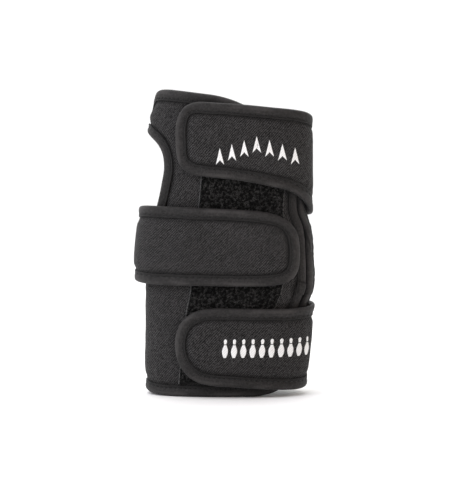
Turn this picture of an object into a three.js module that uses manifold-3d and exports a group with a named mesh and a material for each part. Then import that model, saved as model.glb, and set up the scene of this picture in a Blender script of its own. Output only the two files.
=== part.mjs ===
// Bowling glove for the right hand: a padded wrap that is open at both ends, with a thumb hole,
// a loop field up its front and three straps fastened over that field.
// Millimetres, +Z up. The back of the hand faces -Y and the forearm end rests on Z = 0.

import * as THREE from 'three';
import Module from 'manifold-3d';

const wasm = await Module();
wasm.setup();

// Overall sizes, width and depth taken through the middle of the wall
const HEIGHT = 180;
const WIDTH = 96.5;
const DEPTH = 44;
const OVAL_POWER = 2.3;

// Thickness of each layer, of the padded ones also where their edge is pressed under its tape,
// the gap kept between neighbours, and those kept inside a folded tape: across the layer, beyond
// its cut edge and between the tape's end and the swelled padding
const WALL = 4;
const WALL_EDGE = 1.8;
const STRAP = 3.4;
const STRAP_EDGE = 1.2;
const TAPE = 0.7;
const LOOP = 1.2;
const HOOK = 1;
const GAP = 0.3;
const TAPE_GAP = 0.55;
const EDGE_GAP = 1;
const LIP_GAP = 0.9;

// Widths seen on the face
const TAPE_WIDTH = 6;
const LOOP_WIDTH = 53.5;
const HOOK_HEIGHT = 25;
const HOOK_LENGTH = 38;

// Spacing of the mesh: along the flat of the girth, round its folds, and along and round an edge
const GIRTH_STEP = 8;
const FOLD_STEP = 0.2;
const EDGE_STEP = 9;
const BEND_STEP = 0.3;
const HOLE_SHARE = 0.7;
const END_STEP = 1.6;
const CROSSING_MARGIN = 0.02;
const LEAST_ROW = 0.08;
const PATH_STEP = 0.5;

// Distances from the finished edge to the cut edge of the layer inside its tape, and from that cut
// edge to where the tape ends and to where the padding has swelled to its full thickness
const edgeInset = TAPE + EDGE_GAP;
const pressedReach = TAPE_WIDTH + LIP_GAP - edgeInset;
const swelledReach = pressedReach + WALL / 2;

// Turns a list of rows into records with named columns
function table(columns, rows) {
  return rows.map((row) => Object.fromEntries(columns.map((column, index) => [column, row[index]])));
}

// Sections from the forearm end to the hand end.
// up is a share of HEIGHT, left and right of WIDTH, depth and back of DEPTH.
const SECTIONS = table(
  ['up', 'left', 'right', 'depth', 'back'],
  [
    [0, -0.495, 0.405, 1, 0],
    [0.067, -0.496, 0.416, 1, 0],
    [0.167, -0.496, 0.434, 0.99, 0],
    [0.28, -0.496, 0.454, 0.97, 0],
    [0.344, -0.495, 0.498, 0.95, 0],
    [0.444, -0.498, 0.502, 0.92, 0.005],
    [0.544, -0.482, 0.488, 0.9, 0.01],
    [0.6, -0.47, 0.45, 0.9, 0.02],
    [0.65, -0.466, 0.445, 0.9, 0.03],
    [0.778, -0.466, 0.442, 0.93, 0.05],
    [0.889, -0.472, 0.444, 0.92, 0.08],
    [0.956, -0.443, 0.44, 0.89, 0.1],
    [1, -0.425, 0.434, 0.86, 0.11],
  ],
);

// Pattern positions: around is a share of half the girth, 0 at the middle of the front,
// 0.5 at the right fold, -0.5 at the left fold, -1 and 1 at the middle of the palm side.
// up is a share of HEIGHT.

// Finished edge of the hand end, from the tape join on the front edge to the one on the palm edge
const HAND_EDGE = table(
  ['around', 'up'],
  [
    [0.396, 0.36],
    [0.397, 0.44],
    [0.395, 0.56],
    [0.391, 0.7],
    [0.389, 0.82],
    [0.375, 0.872],
    [0.33, 0.9],
    [0.25, 0.918],
    [0.12, 0.943],
    [0.01, 0.968],
    [-0.077, 0.981],
    [-0.181, 0.989],
    [-0.289, 0.996],
    [-0.37, 1],
    [-0.415, 1],
    [-0.447, 0.998],
    [-0.475, 0.992],
    [-0.505, 0.978],
    [-0.545, 0.952],
    [-0.6, 0.922],
    [-0.7, 0.902],
    [-0.85, 0.887],
    [-1, 0.878],
    [-1.2, 0.872],
    [-1.4, 0.866],
    [-1.52, 0.862],
    [-1.565, 0.85],
    [-1.588, 0.815],
    [-1.59, 0.7],
    [-1.59, 0.5],
    [-1.589, 0.36],
  ],
);

// Finished edge of the forearm end, between the same joins
const FOREARM_EDGE = table(
  ['around', 'up'],
  [
    [0.386, 0.358],
    [0.388, 0.3],
    [0.389, 0.2],
    [0.386, 0.12],
    [0.374, 0.064],
    [0.35, 0.034],
    [0.31, 0.017],
    [0.25, 0.006],
    [0.18, 0],
    [0.1, 0.001],
    [-0.02, 0],
    [-0.15, 0],
    [-0.3, 0],
    [-0.4, 0.004],
    [-0.5, 0.013],
    [-0.6, 0.004],
    [-0.7, 0],
    [-0.85, 0],
    [-1, 0],
    [-1.1, 0.001],
    [-1.18, 0.006],
    [-1.26, 0.03],
    [-1.36, 0.075],
    [-1.46, 0.12],
    [-1.54, 0.165],
    [-1.58, 0.215],
    [-1.589, 0.27],
    [-1.589, 0.358],
  ],
);

// Finished edge of the thumb hole, a closed outline centred on the left fold
const THUMB_HOLE = table(
  ['around', 'up'],
  [
    [-0.5, 0.852],
    [-0.425, 0.835],
    [-0.386, 0.813],
    [-0.365, 0.785],
    [-0.359, 0.745],
    [-0.372, 0.7],
    [-0.391, 0.65],
    [-0.416, 0.6],
    [-0.448, 0.552],
    [-0.5, 0.528],
    [-0.56, 0.552],
    [-0.595, 0.6],
    [-0.62, 0.65],
    [-0.638, 0.7],
    [-0.653, 0.745],
    [-0.647, 0.785],
    [-0.624, 0.812],
    [-0.575, 0.835],
  ],
);

// Finished edge of each strap, from the lower corner of its root round its tip to the upper corner
const TOP_STRAP_EDGE = table(
  ['around', 'up'],
  [
    [0.74, 0.58],
    [0.62, 0.582],
    [0.54, 0.588],
    [0.49, 0.599],
    [0.45, 0.614],
    [0.41, 0.634],
    [0.365, 0.655],
    [0.305, 0.674],
    [0.226, 0.686],
    [0.156, 0.696],
    [0.02, 0.71],
    [-0.12, 0.719],
    [-0.19, 0.727],
    [-0.245, 0.751],
    [-0.266, 0.79],
    [-0.268, 0.84],
    [-0.266, 0.885],
    [-0.257, 0.921],
    [-0.23, 0.948],
    [-0.18, 0.96],
    [-0.06, 0.958],
    [0.104, 0.951],
    [0.23, 0.943],
    [0.337, 0.936],
    [0.411, 0.928],
    [0.5, 0.911],
    [0.6, 0.89],
    [0.74, 0.87],
  ],
);
const MIDDLE_STRAP_EDGE = table(
  ['around', 'up'],
  [
    [-0.78, 0.385],
    [-0.65, 0.38],
    [-0.5, 0.372],
    [-0.396, 0.367],
    [-0.283, 0.365],
    [-0.146, 0.365],
    [0.07, 0.363],
    [0.2, 0.365],
    [0.265, 0.374],
    [0.31, 0.396],
    [0.331, 0.426],
    [0.337, 0.46],
    [0.336, 0.5],
    [0.328, 0.535],
    [0.3, 0.57],
    [0.25, 0.594],
    [0.183, 0.605],
    [0.073, 0.612],
    [-0.154, 0.618],
    [-0.3, 0.621],
    [-0.422, 0.622],
    [-0.5, 0.617],
    [-0.62, 0.607],
    [-0.78, 0.6],
  ],
);
const BOTTOM_STRAP_EDGE = table(
  ['around', 'up'],
  [
    [0.74, 0.06],
    [0.62, 0.047],
    [0.5, 0.028],
    [0.407, 0.021],
    [0.183, 0.029],
    [0.05, 0.036],
    [-0.049, 0.04],
    [-0.13, 0.051],
    [-0.194, 0.078],
    [-0.238, 0.122],
    [-0.254, 0.17],
    [-0.244, 0.218],
    [-0.21, 0.257],
    [-0.15, 0.283],
    [-0.08, 0.292],
    [0.084, 0.292],
    [0.226, 0.29],
    [0.331, 0.289],
    [0.396, 0.291],
    [0.5, 0.297],
    [0.62, 0.306],
    [0.74, 0.316],
  ],
);

// How far a strap has climbed along its length: 0 flat on the wall, 1 over a bound edge,
// 2 over the hook patch and the loop field
const TOP_STRAP_CLIMB = table(
  ['around', 'step'],
  [
    [-0.26, 1.3],
    [-0.19, 1.6],
    [-0.1, 2],
    [0.3, 2],
    [0.4, 1.2],
    [0.46, 0.6],
    [0.5, 0.25],
    [0.56, 0.2],
    [0.74, 0.2],
  ],
);
const MIDDLE_STRAP_CLIMB = table(
  ['around', 'step'],
  [
    [-0.78, 0],
    [-0.7, 0.6],
    [-0.62, 1.4],
    [-0.5, 1.8],
    [-0.4, 1.6],
    [-0.3, 1.4],
    [-0.21, 2],
    [0.29, 2],
    [0.34, 1.2],
  ],
);
const BOTTOM_STRAP_CLIMB = table(
  ['around', 'step'],
  [
    [-0.25, 1.1],
    [-0.2, 1.8],
    [-0.15, 2],
    [0.27, 2],
    [0.38, 1.2],
    [0.46, 0.6],
    [0.5, 0.25],
    [0.56, 0.2],
    [0.74, 0.2],
  ],
);

// Loop field: its middle line leans, so its foot and its head have places of their own.
// Both ends are cut at a slant that follows the wrap's edges.
const FIELD_FOOT = { around: -0.012, up: 0.054, slant: 0.09 };
const FIELD_HEAD = { around: 0.104, up: 0.845, slant: -0.1 };

// Middle of each hook patch
const TOP_HOOK = { around: 0.03, up: 0.825 };
const MIDDLE_HOOK = { around: 0.05, up: 0.492 };
const BOTTOM_HOOK = { around: 0.08, up: 0.165 };

// Colours and surface
const CLOTH = { color: 0x29292b, roughness: 0.9, metalness: 0 };
const BINDING = { color: 0x232325, roughness: 0.8, metalness: 0 };
const PILE = { color: 0x141415, roughness: 1, metalness: 0 };

// Smooth value of one column of a table at a place along another column
function along(rows, key, column, at) {
  const last = rows.length - 1;
  const place = Math.min(Math.max(at, rows[0][key]), rows[last][key]);
  let index = 0;
  while (index < last - 1 && place > rows[index + 1][key]) index += 1;
  const slope = (i) => {
    const before = rows[Math.max(i - 1, 0)];
    const after = rows[Math.min(i + 1, last)];
    return (after[column] - before[column]) / (after[key] - before[key]);
  };
  const from = rows[index];
  const to = rows[index + 1];
  const span = to[key] - from[key];
  const t = (place - from[key]) / span;
  const rise = to[column] - from[column];
  const start = slope(index) * span;
  const end = slope(index + 1) * span;
  const bowed = (3 * rise - 2 * start - end) * t * t + (start + end - 2 * rise) * t * t * t;
  return from[column] + start * t + bowed;
}

// The oval that the pattern is measured on, with its length from the middle of the front
const OVAL_SAMPLES = 1440;
const oval = [];
for (let i = 0; i <= OVAL_SAMPLES; i += 1) {
  const angle = (2 * Math.PI * i) / OVAL_SAMPLES - Math.PI / 2;
  const across = Math.cos(angle);
  const deep = Math.sin(angle);
  const size = Math.pow(
    Math.pow(Math.abs(across) / (WIDTH / 2), OVAL_POWER) + Math.pow(Math.abs(deep) / (DEPTH / 2), OVAL_POWER),
    -1 / OVAL_POWER,
  );
  const x = size * across;
  const y = size * deep;
  const before = oval[i - 1];
  const length = before ? before.length + Math.hypot(x - before.x, y - before.y) : 0;
  oval.push({ x, y, length });
}
const GIRTH = oval[OVAL_SAMPLES].length;
const HALF_GIRTH = GIRTH / 2;

// Lengths along the girth where the mesh is divided: closer together round the folds
function ovalFacing(point) {
  const slopeX = (Math.sign(point.x) * Math.pow(Math.abs(point.x) / (WIDTH / 2), OVAL_POWER - 1)) / WIDTH;
  const slopeY = (Math.sign(point.y) * Math.pow(Math.abs(point.y) / (DEPTH / 2), OVAL_POWER - 1)) / DEPTH;
  return Math.atan2(slopeY, slopeX);
}
const girthStops = [0];
let lastFacing = ovalFacing(oval[0]);
for (const point of oval) {
  const turned = Math.abs(Math.sin((ovalFacing(point) - lastFacing) / 2) * 2);
  if (turned >= FOLD_STEP || point.length - girthStops[girthStops.length - 1] >= GIRTH_STEP) {
    girthStops.push(point.length);
    lastFacing = ovalFacing(point);
  }
}
if (GIRTH - girthStops[girthStops.length - 1] < GIRTH_STEP / 2) girthStops.pop();
const allStops = [-GIRTH, 0].flatMap((shift) => girthStops.map((stop) => stop + shift));

// Unit position on the oval at a length along the girth
function onOval(length) {
  const wrapped = ((length % GIRTH) + GIRTH) % GIRTH;
  let low = 0;
  let high = OVAL_SAMPLES;
  while (high - low > 1) {
    const middle = Math.floor((low + high) / 2);
    if (oval[middle].length <= wrapped) low = middle;
    else high = middle;
  }
  const share = (wrapped - oval[low].length) / (oval[high].length - oval[low].length);
  return {
    x: (oval[low].x + (oval[high].x - oval[low].x) * share) / (WIDTH / 2),
    y: (oval[low].y + (oval[high].y - oval[low].y) * share) / (DEPTH / 2),
  };
}

// Point of the glove from its pattern position in millimetres and its lift from the middle of the wall
function place(s, z, lift) {
  const up = z / HEIGHT;
  const left = along(SECTIONS, 'up', 'left', up) * WIDTH;
  const right = along(SECTIONS, 'up', 'right', up) * WIDTH;
  const halfWidth = (right - left) / 2;
  const halfDepth = (along(SECTIONS, 'up', 'depth', up) * DEPTH) / 2;
  const back = along(SECTIONS, 'up', 'back', up) * DEPTH;
  const unit = onOval(s);
  const slopeX = (Math.sign(unit.x) * Math.pow(Math.abs(unit.x), OVAL_POWER - 1)) / halfWidth;
  const slopeY = (Math.sign(unit.y) * Math.pow(Math.abs(unit.y), OVAL_POWER - 1)) / halfDepth;
  const slope = Math.hypot(slopeX, slopeY);
  return [
    (left + right) / 2 + unit.x * halfWidth + (lift * slopeX) / slope,
    back + unit.y * halfDepth + (lift * slopeY) / slope,
    z,
  ];
}

// Dense smooth path in pattern millimetres through a table of positions
function smoothPath(rows, closed) {
  const points = rows.map((row) => new THREE.Vector3(row.around * HALF_GIRTH, row.up * HEIGHT, 0));
  const curve = new THREE.CatmullRomCurve3(points, closed, 'centripetal');
  const count = Math.ceil(curve.getLength() / PATH_STEP);
  const path = curve.getSpacedPoints(count).map((point) => ({ s: point.x, z: Math.max(point.y, 0) }));
  if (closed) path.pop();
  return path;
}

// Adds to every point the direction across the path, towards the cloth that it bounds
function withInward(path, closed, side) {
  const count = path.length;
  return path.map((point, index) => {
    const before = path[closed ? (index + count - 1) % count : Math.max(index - 1, 0)];
    const after = path[closed ? (index + 1) % count : Math.min(index + 1, count - 1)];
    const length = Math.hypot(after.s - before.s, after.z - before.z);
    const inS = (-side * (after.z - before.z)) / length;
    const inZ = (side * (after.s - before.s)) / length;
    return { ...point, inS, inZ };
  });
}

// The path moved across by an amount
function inset(path, amount) {
  return path.map((point) => ({ s: point.s + point.inS * amount, z: point.z + point.inZ * amount }));
}

// Fewer stations for a sweep: closer together round the folds and the corners
function stations(path, closed) {
  const kept = [path[0]];
  let length = 0;
  let turn = 0;
  for (let i = 1; i < path.length; i += 1) {
    const [from, to] = [path[i - 1], path[i]];
    length += Math.hypot(to.s - from.s, to.z - from.z);
    turn += Math.abs(to.inS * from.inZ - to.inZ * from.inS);
    const last = i === path.length - 1;
    const atStop = length > END_STEP && allStops.some((stop) => (from.s - stop) * (to.s - stop) < 0);
    const share = closed ? HOLE_SHARE : 1;
    const full = atStop || length >= EDGE_STEP * share || turn >= BEND_STEP * share;
    if ((full && !last) || (last && !closed)) {
      kept.push(to);
      length = 0;
      turn = 0;
    }
  }
  return kept;
}

// Closed body from shared vertices and faces, turned so that its faces look outward
function body(vertices, faces) {
  let volume = 0;
  for (const [a, b, c] of faces) {
    const [p, q, r] = [vertices[a], vertices[b], vertices[c]];
    volume += p[0] * (q[1] * r[2] - q[2] * r[1]);
    volume += p[1] * (q[2] * r[0] - q[0] * r[2]);
    volume += p[2] * (q[0] * r[1] - q[1] * r[0]);
  }
  const outward = volume > 0 ? faces : faces.map(([a, b, c]) => [a, c, b]);
  return { positions: vertices.flat(), indices: outward.flat() };
}

// Slab between two lifts over a grid of pattern positions
function slab(grid, lowLift, highLift) {
  const rows = grid.length;
  const columns = grid[0].length;
  const vertices = [];
  const faces = [];
  for (const lift of [lowLift, highLift]) {
    for (const row of grid) {
      for (const point of row) vertices.push(place(point.s, point.z, lift(point)));
    }
  }
  const at = (layer, row, column) => (layer * rows + row) * columns + column;
  for (let row = 0; row < rows - 1; row += 1) {
    for (let column = 0; column < columns - 1; column += 1) {
      for (const layer of [0, 1]) {
        const corners = [
          at(layer, row, column),
          at(layer, row, column + 1),
          at(layer, row + 1, column + 1),
          at(layer, row + 1, column),
        ];
        if (layer === 0) corners.reverse();
        faces.push([corners[0], corners[1], corners[2]], [corners[0], corners[2], corners[3]]);
      }
    }
  }
  const rim = [];
  for (let column = 0; column < columns - 1; column += 1) rim.push([0, column]);
  for (let row = 0; row < rows - 1; row += 1) rim.push([row, columns - 1]);
  for (let column = columns - 1; column > 0; column -= 1) rim.push([rows - 1, column]);
  for (let row = rows - 1; row > 0; row -= 1) rim.push([row, 0]);
  rim.forEach(([row, column], index) => {
    const [nextRow, nextColumn] = rim[(index + 1) % rim.length];
    const low = at(0, row, column);
    const lowNext = at(0, nextRow, nextColumn);
    const high = at(1, row, column);
    const highNext = at(1, nextRow, nextColumn);
    faces.push([low, lowNext, highNext], [low, highNext, high]);
  });
  return body(vertices, faces);
}

// Folded tape swept along stations: it holds the edge of a layer of the given thickness
function foldedTape(path, closed, thickness, level) {
  const inner = thickness / 2 + TAPE_GAP;
  const outer = inner + TAPE;
  const lip = TAPE / 2;
  const middle = (TAPE_WIDTH + TAPE) / 2;
  const section = [
    [TAPE_WIDTH, inner],
    [TAPE_WIDTH - lip, outer],
    [0, outer - lip],
    [0, lip - outer],
    [TAPE_WIDTH - lip, -outer],
    [TAPE_WIDTH, -inner],
    [middle, -inner],
    [TAPE, -inner],
    [TAPE, inner],
    [middle, inner],
  ];
  const stops = stations(path, closed);
  const vertices = [];
  const faces = [];
  const sides = section.length;
  for (const stop of stops) {
    for (const [across, lift] of section) {
      const s = stop.s + stop.inS * across;
      const z = stop.z + stop.inZ * across;
      vertices.push(place(s, z, level(s) + lift));
    }
  }
  const links = closed ? stops.length : stops.length - 1;
  for (let i = 0; i < links; i += 1) {
    const next = (i + 1) % stops.length;
    for (let j = 0; j < sides; j += 1) {
      const across = (j + 1) % sides;
      faces.push([i * sides + j, next * sides + j, next * sides + across]);
      faces.push([i * sides + j, next * sides + across, i * sides + across]);
    }
  }
  if (!closed) {
    const outline = section.map(([across, lift]) => new THREE.Vector2(across, lift));
    const cap = THREE.ShapeUtils.triangulateShape(outline, []);
    const end = (stops.length - 1) * sides;
    const turned = faceLooks(outline, cap);
    for (const [a, b, c] of cap) {
      faces.push(turned ? [a, b, c] : [a, c, b]);
      faces.push(turned ? [end + a, end + c, end + b] : [end + a, end + b, end + c]);
    }
  }
  return body(vertices, faces);
}

// Whether the triangles of a flat cap run the same way as its outline
function faceLooks(outline, cap) {
  const area = (points) =>
    points.reduce((sum, point, i) => sum + point.cross(points[(i + 1) % points.length]), 0);
  return area(outline) * area(cap[0].map((index) => outline[index])) > 0;
}

// Height at which a path crosses a position on the girth, looked for from the middle of the path
// outwards. A position beyond the path's ends is brought inside them by the margin.
function crossing(path, position, margin) {
  const reach = path.map((point) => point.s);
  const s = Math.min(Math.max(position, Math.min(...reach) + margin), Math.max(...reach) - margin);
  const middle = path.length / 2;
  let best = { distance: Infinity, z: path[0].z };
  for (let i = 0; i < path.length - 1; i += 1) {
    const [from, to] = [path[i], path[i + 1]];
    const distance = Math.abs(i - middle);
    if ((from.s - s) * (to.s - s) <= 0 && from.s !== to.s && distance < best.distance) {
      best = { distance, z: from.z + ((to.z - from.z) * (s - from.s)) / (to.s - from.s) };
    }
  }
  return best.z;
}

// Places on the girth for a grid between two ends. An end with a bound edge gets close places:
// two for its round corners, one where the tape ends and one where the padding has swelled.
function girthPlaces(from, to, boundFrom, boundTo) {
  const steps = [0, END_STEP / 3, END_STEP, pressedReach, swelledReach];
  const fromPlaces = boundFrom ? steps.map((step) => from + step) : [from];
  const toPlaces = boundTo ? steps.map((step) => to - step) : [to];
  const start = fromPlaces[fromPlaces.length - 1] + END_STEP;
  const end = toPlaces[toPlaces.length - 1] - END_STEP;
  const between = allStops.filter((stop) => stop > start && stop < end);
  return [...fromPlaces, ...between, ...toPlaces].sort((a, b) => a - b);
}

// Grid of pattern positions between the finished edges below and above. full is 0 where the layer
// is pressed under its tape and 1 where its padding has swelled.
function gridBetween(lower, upper, places, innerRows, boundEnds) {
  const bound = {
    from: boundEnds[0] ? places[0] : -Infinity,
    to: boundEnds[1] ? places[places.length - 1] : Infinity,
  };
  const reaches = [edgeInset, edgeInset + pressedReach, edgeInset + swelledReach];
  const lowerPaths = reaches.map((reach) => inset(lower, reach));
  const upperPaths = reaches.map((reach) => inset(upper, reach));
  const columns = places.map((s) => {
    const margin = (index) => (index === 0 ? CROSSING_MARGIN : END_STEP);
    const lows = lowerPaths.map((path, index) => crossing(path, s, margin(index)));
    const highs = upperPaths.map((path, index) => crossing(path, s, margin(index)));
    const middle = (lows[0] + highs[0]) / 2;
    const least = (highs[0] - lows[0]) * LEAST_ROW;
    for (let index = 1; index < reaches.length; index += 1) {
      const room = (reaches.length - index) * least;
      lows[index] = Math.min(Math.max(lows[index], lows[index - 1] + least), middle - room);
      highs[index] = Math.max(Math.min(highs[index], highs[index - 1] - least), middle + room);
    }
    const near = Math.min(s - bound.from, bound.to - s);
    const column = lows.slice(0, 2);
    for (let row = 0; row <= innerRows; row += 1) {
      column.push(lows[2] + ((highs[2] - lows[2]) * row) / innerRows);
    }
    column.push(highs[1], highs[0]);
    return column.map((z, row) => ({
      s,
      z,
      full: row > 1 && row < column.length - 2 && near > (pressedReach + swelledReach) / 2 ? 1 : 0,
    }));
  });
  return columns[0].map((_, row) => columns.map((column) => column[row]));
}

const group = new THREE.Group();
group.name = 'bowling_glove';

// Named mesh with its material, added to the glove
function addPiece(name, shape, finish) {
  const geometry = new THREE.BufferGeometry();
  geometry.setAttribute('position', new THREE.Float32BufferAttribute(shape.positions, 3));
  geometry.setIndex(shape.indices);
  geometry.computeVertexNormals();
  const mesh = new THREE.Mesh(geometry, new THREE.MeshStandardMaterial(finish));
  mesh.name = name;
  group.add(mesh);
}

function toManifold(shape) {
  return new wasm.Manifold(
    new wasm.Mesh({
      numProp: 3,
      vertProperties: new Float32Array(shape.positions),
      triVerts: new Uint32Array(shape.indices),
    }),
  );
}

function fromManifold(solid) {
  const mesh = solid.getMesh();
  return { positions: Array.from(mesh.vertProperties), indices: Array.from(mesh.triVerts) };
}

// Padded wrap: a grid between its two ends, with the thumb hole cut through the left fold
const WRAP_ROWS = 11;
const HOLE_REACH = 2 * WALL;
const HOLE_RINGS = 4;
const flatLevel = () => 0;
const handPath = withInward(smoothPath(HAND_EDGE, false), false, 1);
const forearmPath = withInward(smoothPath(FOREARM_EDGE, false), false, -1);
const holePath = withInward(smoothPath(THUMB_HOLE, true), true, 1);

const wrapPlaces = girthPlaces(
  Math.max(handPath[handPath.length - 1].s, forearmPath[forearmPath.length - 1].s) + edgeInset,
  Math.min(handPath[0].s, forearmPath[0].s) - edgeInset,
  true,
  true,
);
const wrapGrid = gridBetween(forearmPath, handPath, wrapPlaces, WRAP_ROWS, [true, true]);
const wrapHalf = (point) => (WALL_EDGE + (WALL - WALL_EDGE) * point.full) / 2;
const wrapSlab = slab(wrapGrid, (point) => -wrapHalf(point), wrapHalf);

// Plug that cuts the thumb hole: rings that shrink to the middle of the hole on both faces
function holePlug() {
  const rim = stations(withInward(inset(holePath, edgeInset), true, 1), true);
  const middle = {
    s: rim.reduce((sum, point) => sum + point.s, 0) / rim.length,
    z: rim.reduce((sum, point) => sum + point.z, 0) / rim.length,
  };
  const vertices = [];
  const faces = [];
  const count = rim.length;
  const ring = (layer, index) => (layer * HOLE_RINGS + index) * count + layer;
  for (const lift of [-HOLE_REACH, HOLE_REACH]) {
    for (let index = 0; index < HOLE_RINGS; index += 1) {
      const share = 1 - index / HOLE_RINGS;
      for (const point of rim) {
        const s = middle.s + (point.s - middle.s) * share;
        vertices.push(place(s, middle.z + (point.z - middle.z) * share, lift));
      }
    }
    vertices.push(place(middle.s, middle.z, lift));
  }
  const turn = (layer, a, b, c) => faces.push(layer === 0 ? [a, c, b] : [a, b, c]);
  for (let i = 0; i < count; i += 1) {
    const next = (i + 1) % count;
    for (const layer of [0, 1]) {
      for (let index = 0; index < HOLE_RINGS - 1; index += 1) {
        const outer = ring(layer, index);
        const inner = ring(layer, index + 1);
        turn(layer, outer + i, outer + next, inner + next);
        turn(layer, outer + i, inner + next, inner + i);
      }
      const last = ring(layer, HOLE_RINGS - 1);
      turn(layer, last + i, last + next, last + count);
    }
    const low = ring(0, 0);
    const high = ring(1, 0);
    faces.push([low + i, low + next, high + next], [low + i, high + next, high + i]);
  }
  return body(vertices, faces);
}

const wrapSolid = toManifold(wrapSlab).subtract(toManifold(holePlug()));
addPiece('wrap_body', fromManifold(wrapSolid), CLOTH);
addPiece('hand_binding', foldedTape(handPath, false, WALL_EDGE, flatLevel), BINDING);
addPiece('forearm_binding', foldedTape(forearmPath, false, WALL_EDGE, flatLevel), BINDING);
addPiece('thumb_binding', foldedTape(holePath, true, WALL, flatLevel), BINDING);

// Loop field on the front
const FIELD_ROWS = 10;
const FIELD_COLUMNS = 8;
const fieldLift = WALL / 2 + GAP;
const fieldGrid = [];
for (let row = 0; row <= FIELD_ROWS; row += 1) {
  const share = row / FIELD_ROWS;
  const line = [];
  for (let column = 0; column <= FIELD_COLUMNS; column += 1) {
    const across = LOOP_WIDTH * (column / FIELD_COLUMNS - 0.5);
    const around = FIELD_FOOT.around + (FIELD_HEAD.around - FIELD_FOOT.around) * share;
    const up = FIELD_FOOT.up + (FIELD_HEAD.up - FIELD_FOOT.up) * share;
    const slant = FIELD_FOOT.slant + (FIELD_HEAD.slant - FIELD_FOOT.slant) * share;
    line.push({ s: around * HALF_GIRTH + across, z: up * HEIGHT + across * slant });
  }
  fieldGrid.push(line);
}
addPiece('loop_field', slab(fieldGrid, () => fieldLift, () => fieldLift + LOOP), PILE);

// Middle of a strap above the middle of the wall at each step of its climb
const strapHalf = STRAP_EDGE / 2 + TAPE_GAP + TAPE;
const levels = [
  WALL / 2 + GAP + strapHalf,
  WALL / 2 + TAPE_GAP + TAPE + GAP + strapHalf,
  fieldLift + LOOP + GAP + HOOK + GAP + STRAP / 2,
];

function strapLevel(climb) {
  return (s) => {
    const step = Math.min(Math.max(along(climb, 'around', 'step', s / HALF_GIRTH), 0), levels.length - 1);
    const low = Math.min(Math.floor(step), levels.length - 2);
    return levels[low] + (levels[low + 1] - levels[low]) * (step - low);
  };
}

// Strap with its bound edge and its hook patch
const STRAP_ROWS = 2;
const HOOK_ROWS = 2;
const HOOK_COLUMNS = 8;

function addStrap(name, edge, climb, hook) {
  const level = strapLevel(climb);
  const rootOnRight = edge[0].around > 0;
  const path = withInward(smoothPath(edge, false), false, rootOnRight ? -1 : 1);
  const tipIndex = path.reduce(
    (best, point, index) => ((point.s - path[best].s) * (rootOnRight ? -1 : 1) > 0 ? index : best),
    0,
  );
  const lower = path.slice(0, tipIndex + 1);
  const upper = path.slice(tipIndex);
  const root = path[0].s;
  const tip = path[tipIndex].s + (rootOnRight ? edgeInset : -edgeInset);
  const boundEnds = [rootOnRight, !rootOnRight];
  const places = girthPlaces(Math.min(root, tip), Math.max(root, tip), ...boundEnds);
  const grid = gridBetween(lower, upper, places, STRAP_ROWS, boundEnds);
  const half = (point) => (STRAP_EDGE + (STRAP - STRAP_EDGE) * point.full) / 2;
  const core = slab(
    grid,
    (point) => level(point.s) - half(point),
    (point) => level(point.s) + half(point),
  );
  addPiece(`${name}_strap`, core, CLOTH);
  addPiece(`${name}_strap_binding`, foldedTape(path, false, STRAP_EDGE, level), BINDING);
  const patch = [];
  for (let row = 0; row <= HOOK_ROWS; row += 1) {
    const line = [];
    for (let column = 0; column <= HOOK_COLUMNS; column += 1) {
      line.push({
        s: hook.around * HALF_GIRTH + HOOK_LENGTH * (column / HOOK_COLUMNS - 0.5),
        z: hook.up * HEIGHT + HOOK_HEIGHT * (row / HOOK_ROWS - 0.5),
      });
    }
    patch.push(line);
  }
  const hookLift = fieldLift + LOOP + GAP;
  addPiece(`${name}_hook_patch`, slab(patch, () => hookLift, () => hookLift + HOOK), PILE);
}

addStrap('top', TOP_STRAP_EDGE, TOP_STRAP_CLIMB, TOP_HOOK);
addStrap('middle', MIDDLE_STRAP_EDGE, MIDDLE_STRAP_CLIMB, MIDDLE_HOOK);
addStrap('bottom', BOTTOM_STRAP_EDGE, BOTTOM_STRAP_CLIMB, BOTTOM_HOOK);

// Centred in X and Y over the middle of its base box
group.updateMatrixWorld(true);
const box = new THREE.Box3().setFromObject(group);
group.position.set(-(box.min.x + box.max.x) / 2, -(box.min.y + box.max.y) / 2, -box.min.z);
group.updateMatrixWorld(true);

export default group;
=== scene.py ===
import math
import bmesh
import bpy
import numpy as np
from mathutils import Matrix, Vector, kdtree


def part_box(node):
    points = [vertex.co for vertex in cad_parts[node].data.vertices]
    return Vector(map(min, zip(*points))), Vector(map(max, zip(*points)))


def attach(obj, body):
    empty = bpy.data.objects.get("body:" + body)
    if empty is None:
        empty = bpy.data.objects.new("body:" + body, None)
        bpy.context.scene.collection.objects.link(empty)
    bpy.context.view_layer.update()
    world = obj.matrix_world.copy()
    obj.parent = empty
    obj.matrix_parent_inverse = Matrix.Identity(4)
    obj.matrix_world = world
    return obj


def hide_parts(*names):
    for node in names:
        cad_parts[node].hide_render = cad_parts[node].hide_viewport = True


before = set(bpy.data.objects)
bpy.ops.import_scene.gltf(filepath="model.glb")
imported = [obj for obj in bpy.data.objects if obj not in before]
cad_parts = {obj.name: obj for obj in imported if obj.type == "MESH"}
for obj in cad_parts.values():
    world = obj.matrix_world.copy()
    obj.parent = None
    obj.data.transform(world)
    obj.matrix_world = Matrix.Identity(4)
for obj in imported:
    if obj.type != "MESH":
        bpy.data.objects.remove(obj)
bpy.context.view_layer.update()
print("frame loaded")

millimetre = 0.001

# The form that every piece lies on, in millimetres: lengths go round the girth from the middle of
# the front, positive towards the right fold, and up from the forearm end
form = {
    "height": 180.0,
    "width": 96.5,
    "depth": 44.0,
    "ovalPower": 2.3,
    "wall": 4.0,
    "strap": 3.4,
    "strapEdge": 1.2,
    "tape": 0.7,
    "tapeGap": 0.55,
    "tapeWidth": 6.5,
    "tapeNose": 1.75,       # how far the roll at a tape's edge reaches
    "loop": 1.2,
    "hook": 1.0,
    "gap": 0.3,
    "edgeInset": 1.7,       # cut edge of a layer behind the finished edge of its tape
}

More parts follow.
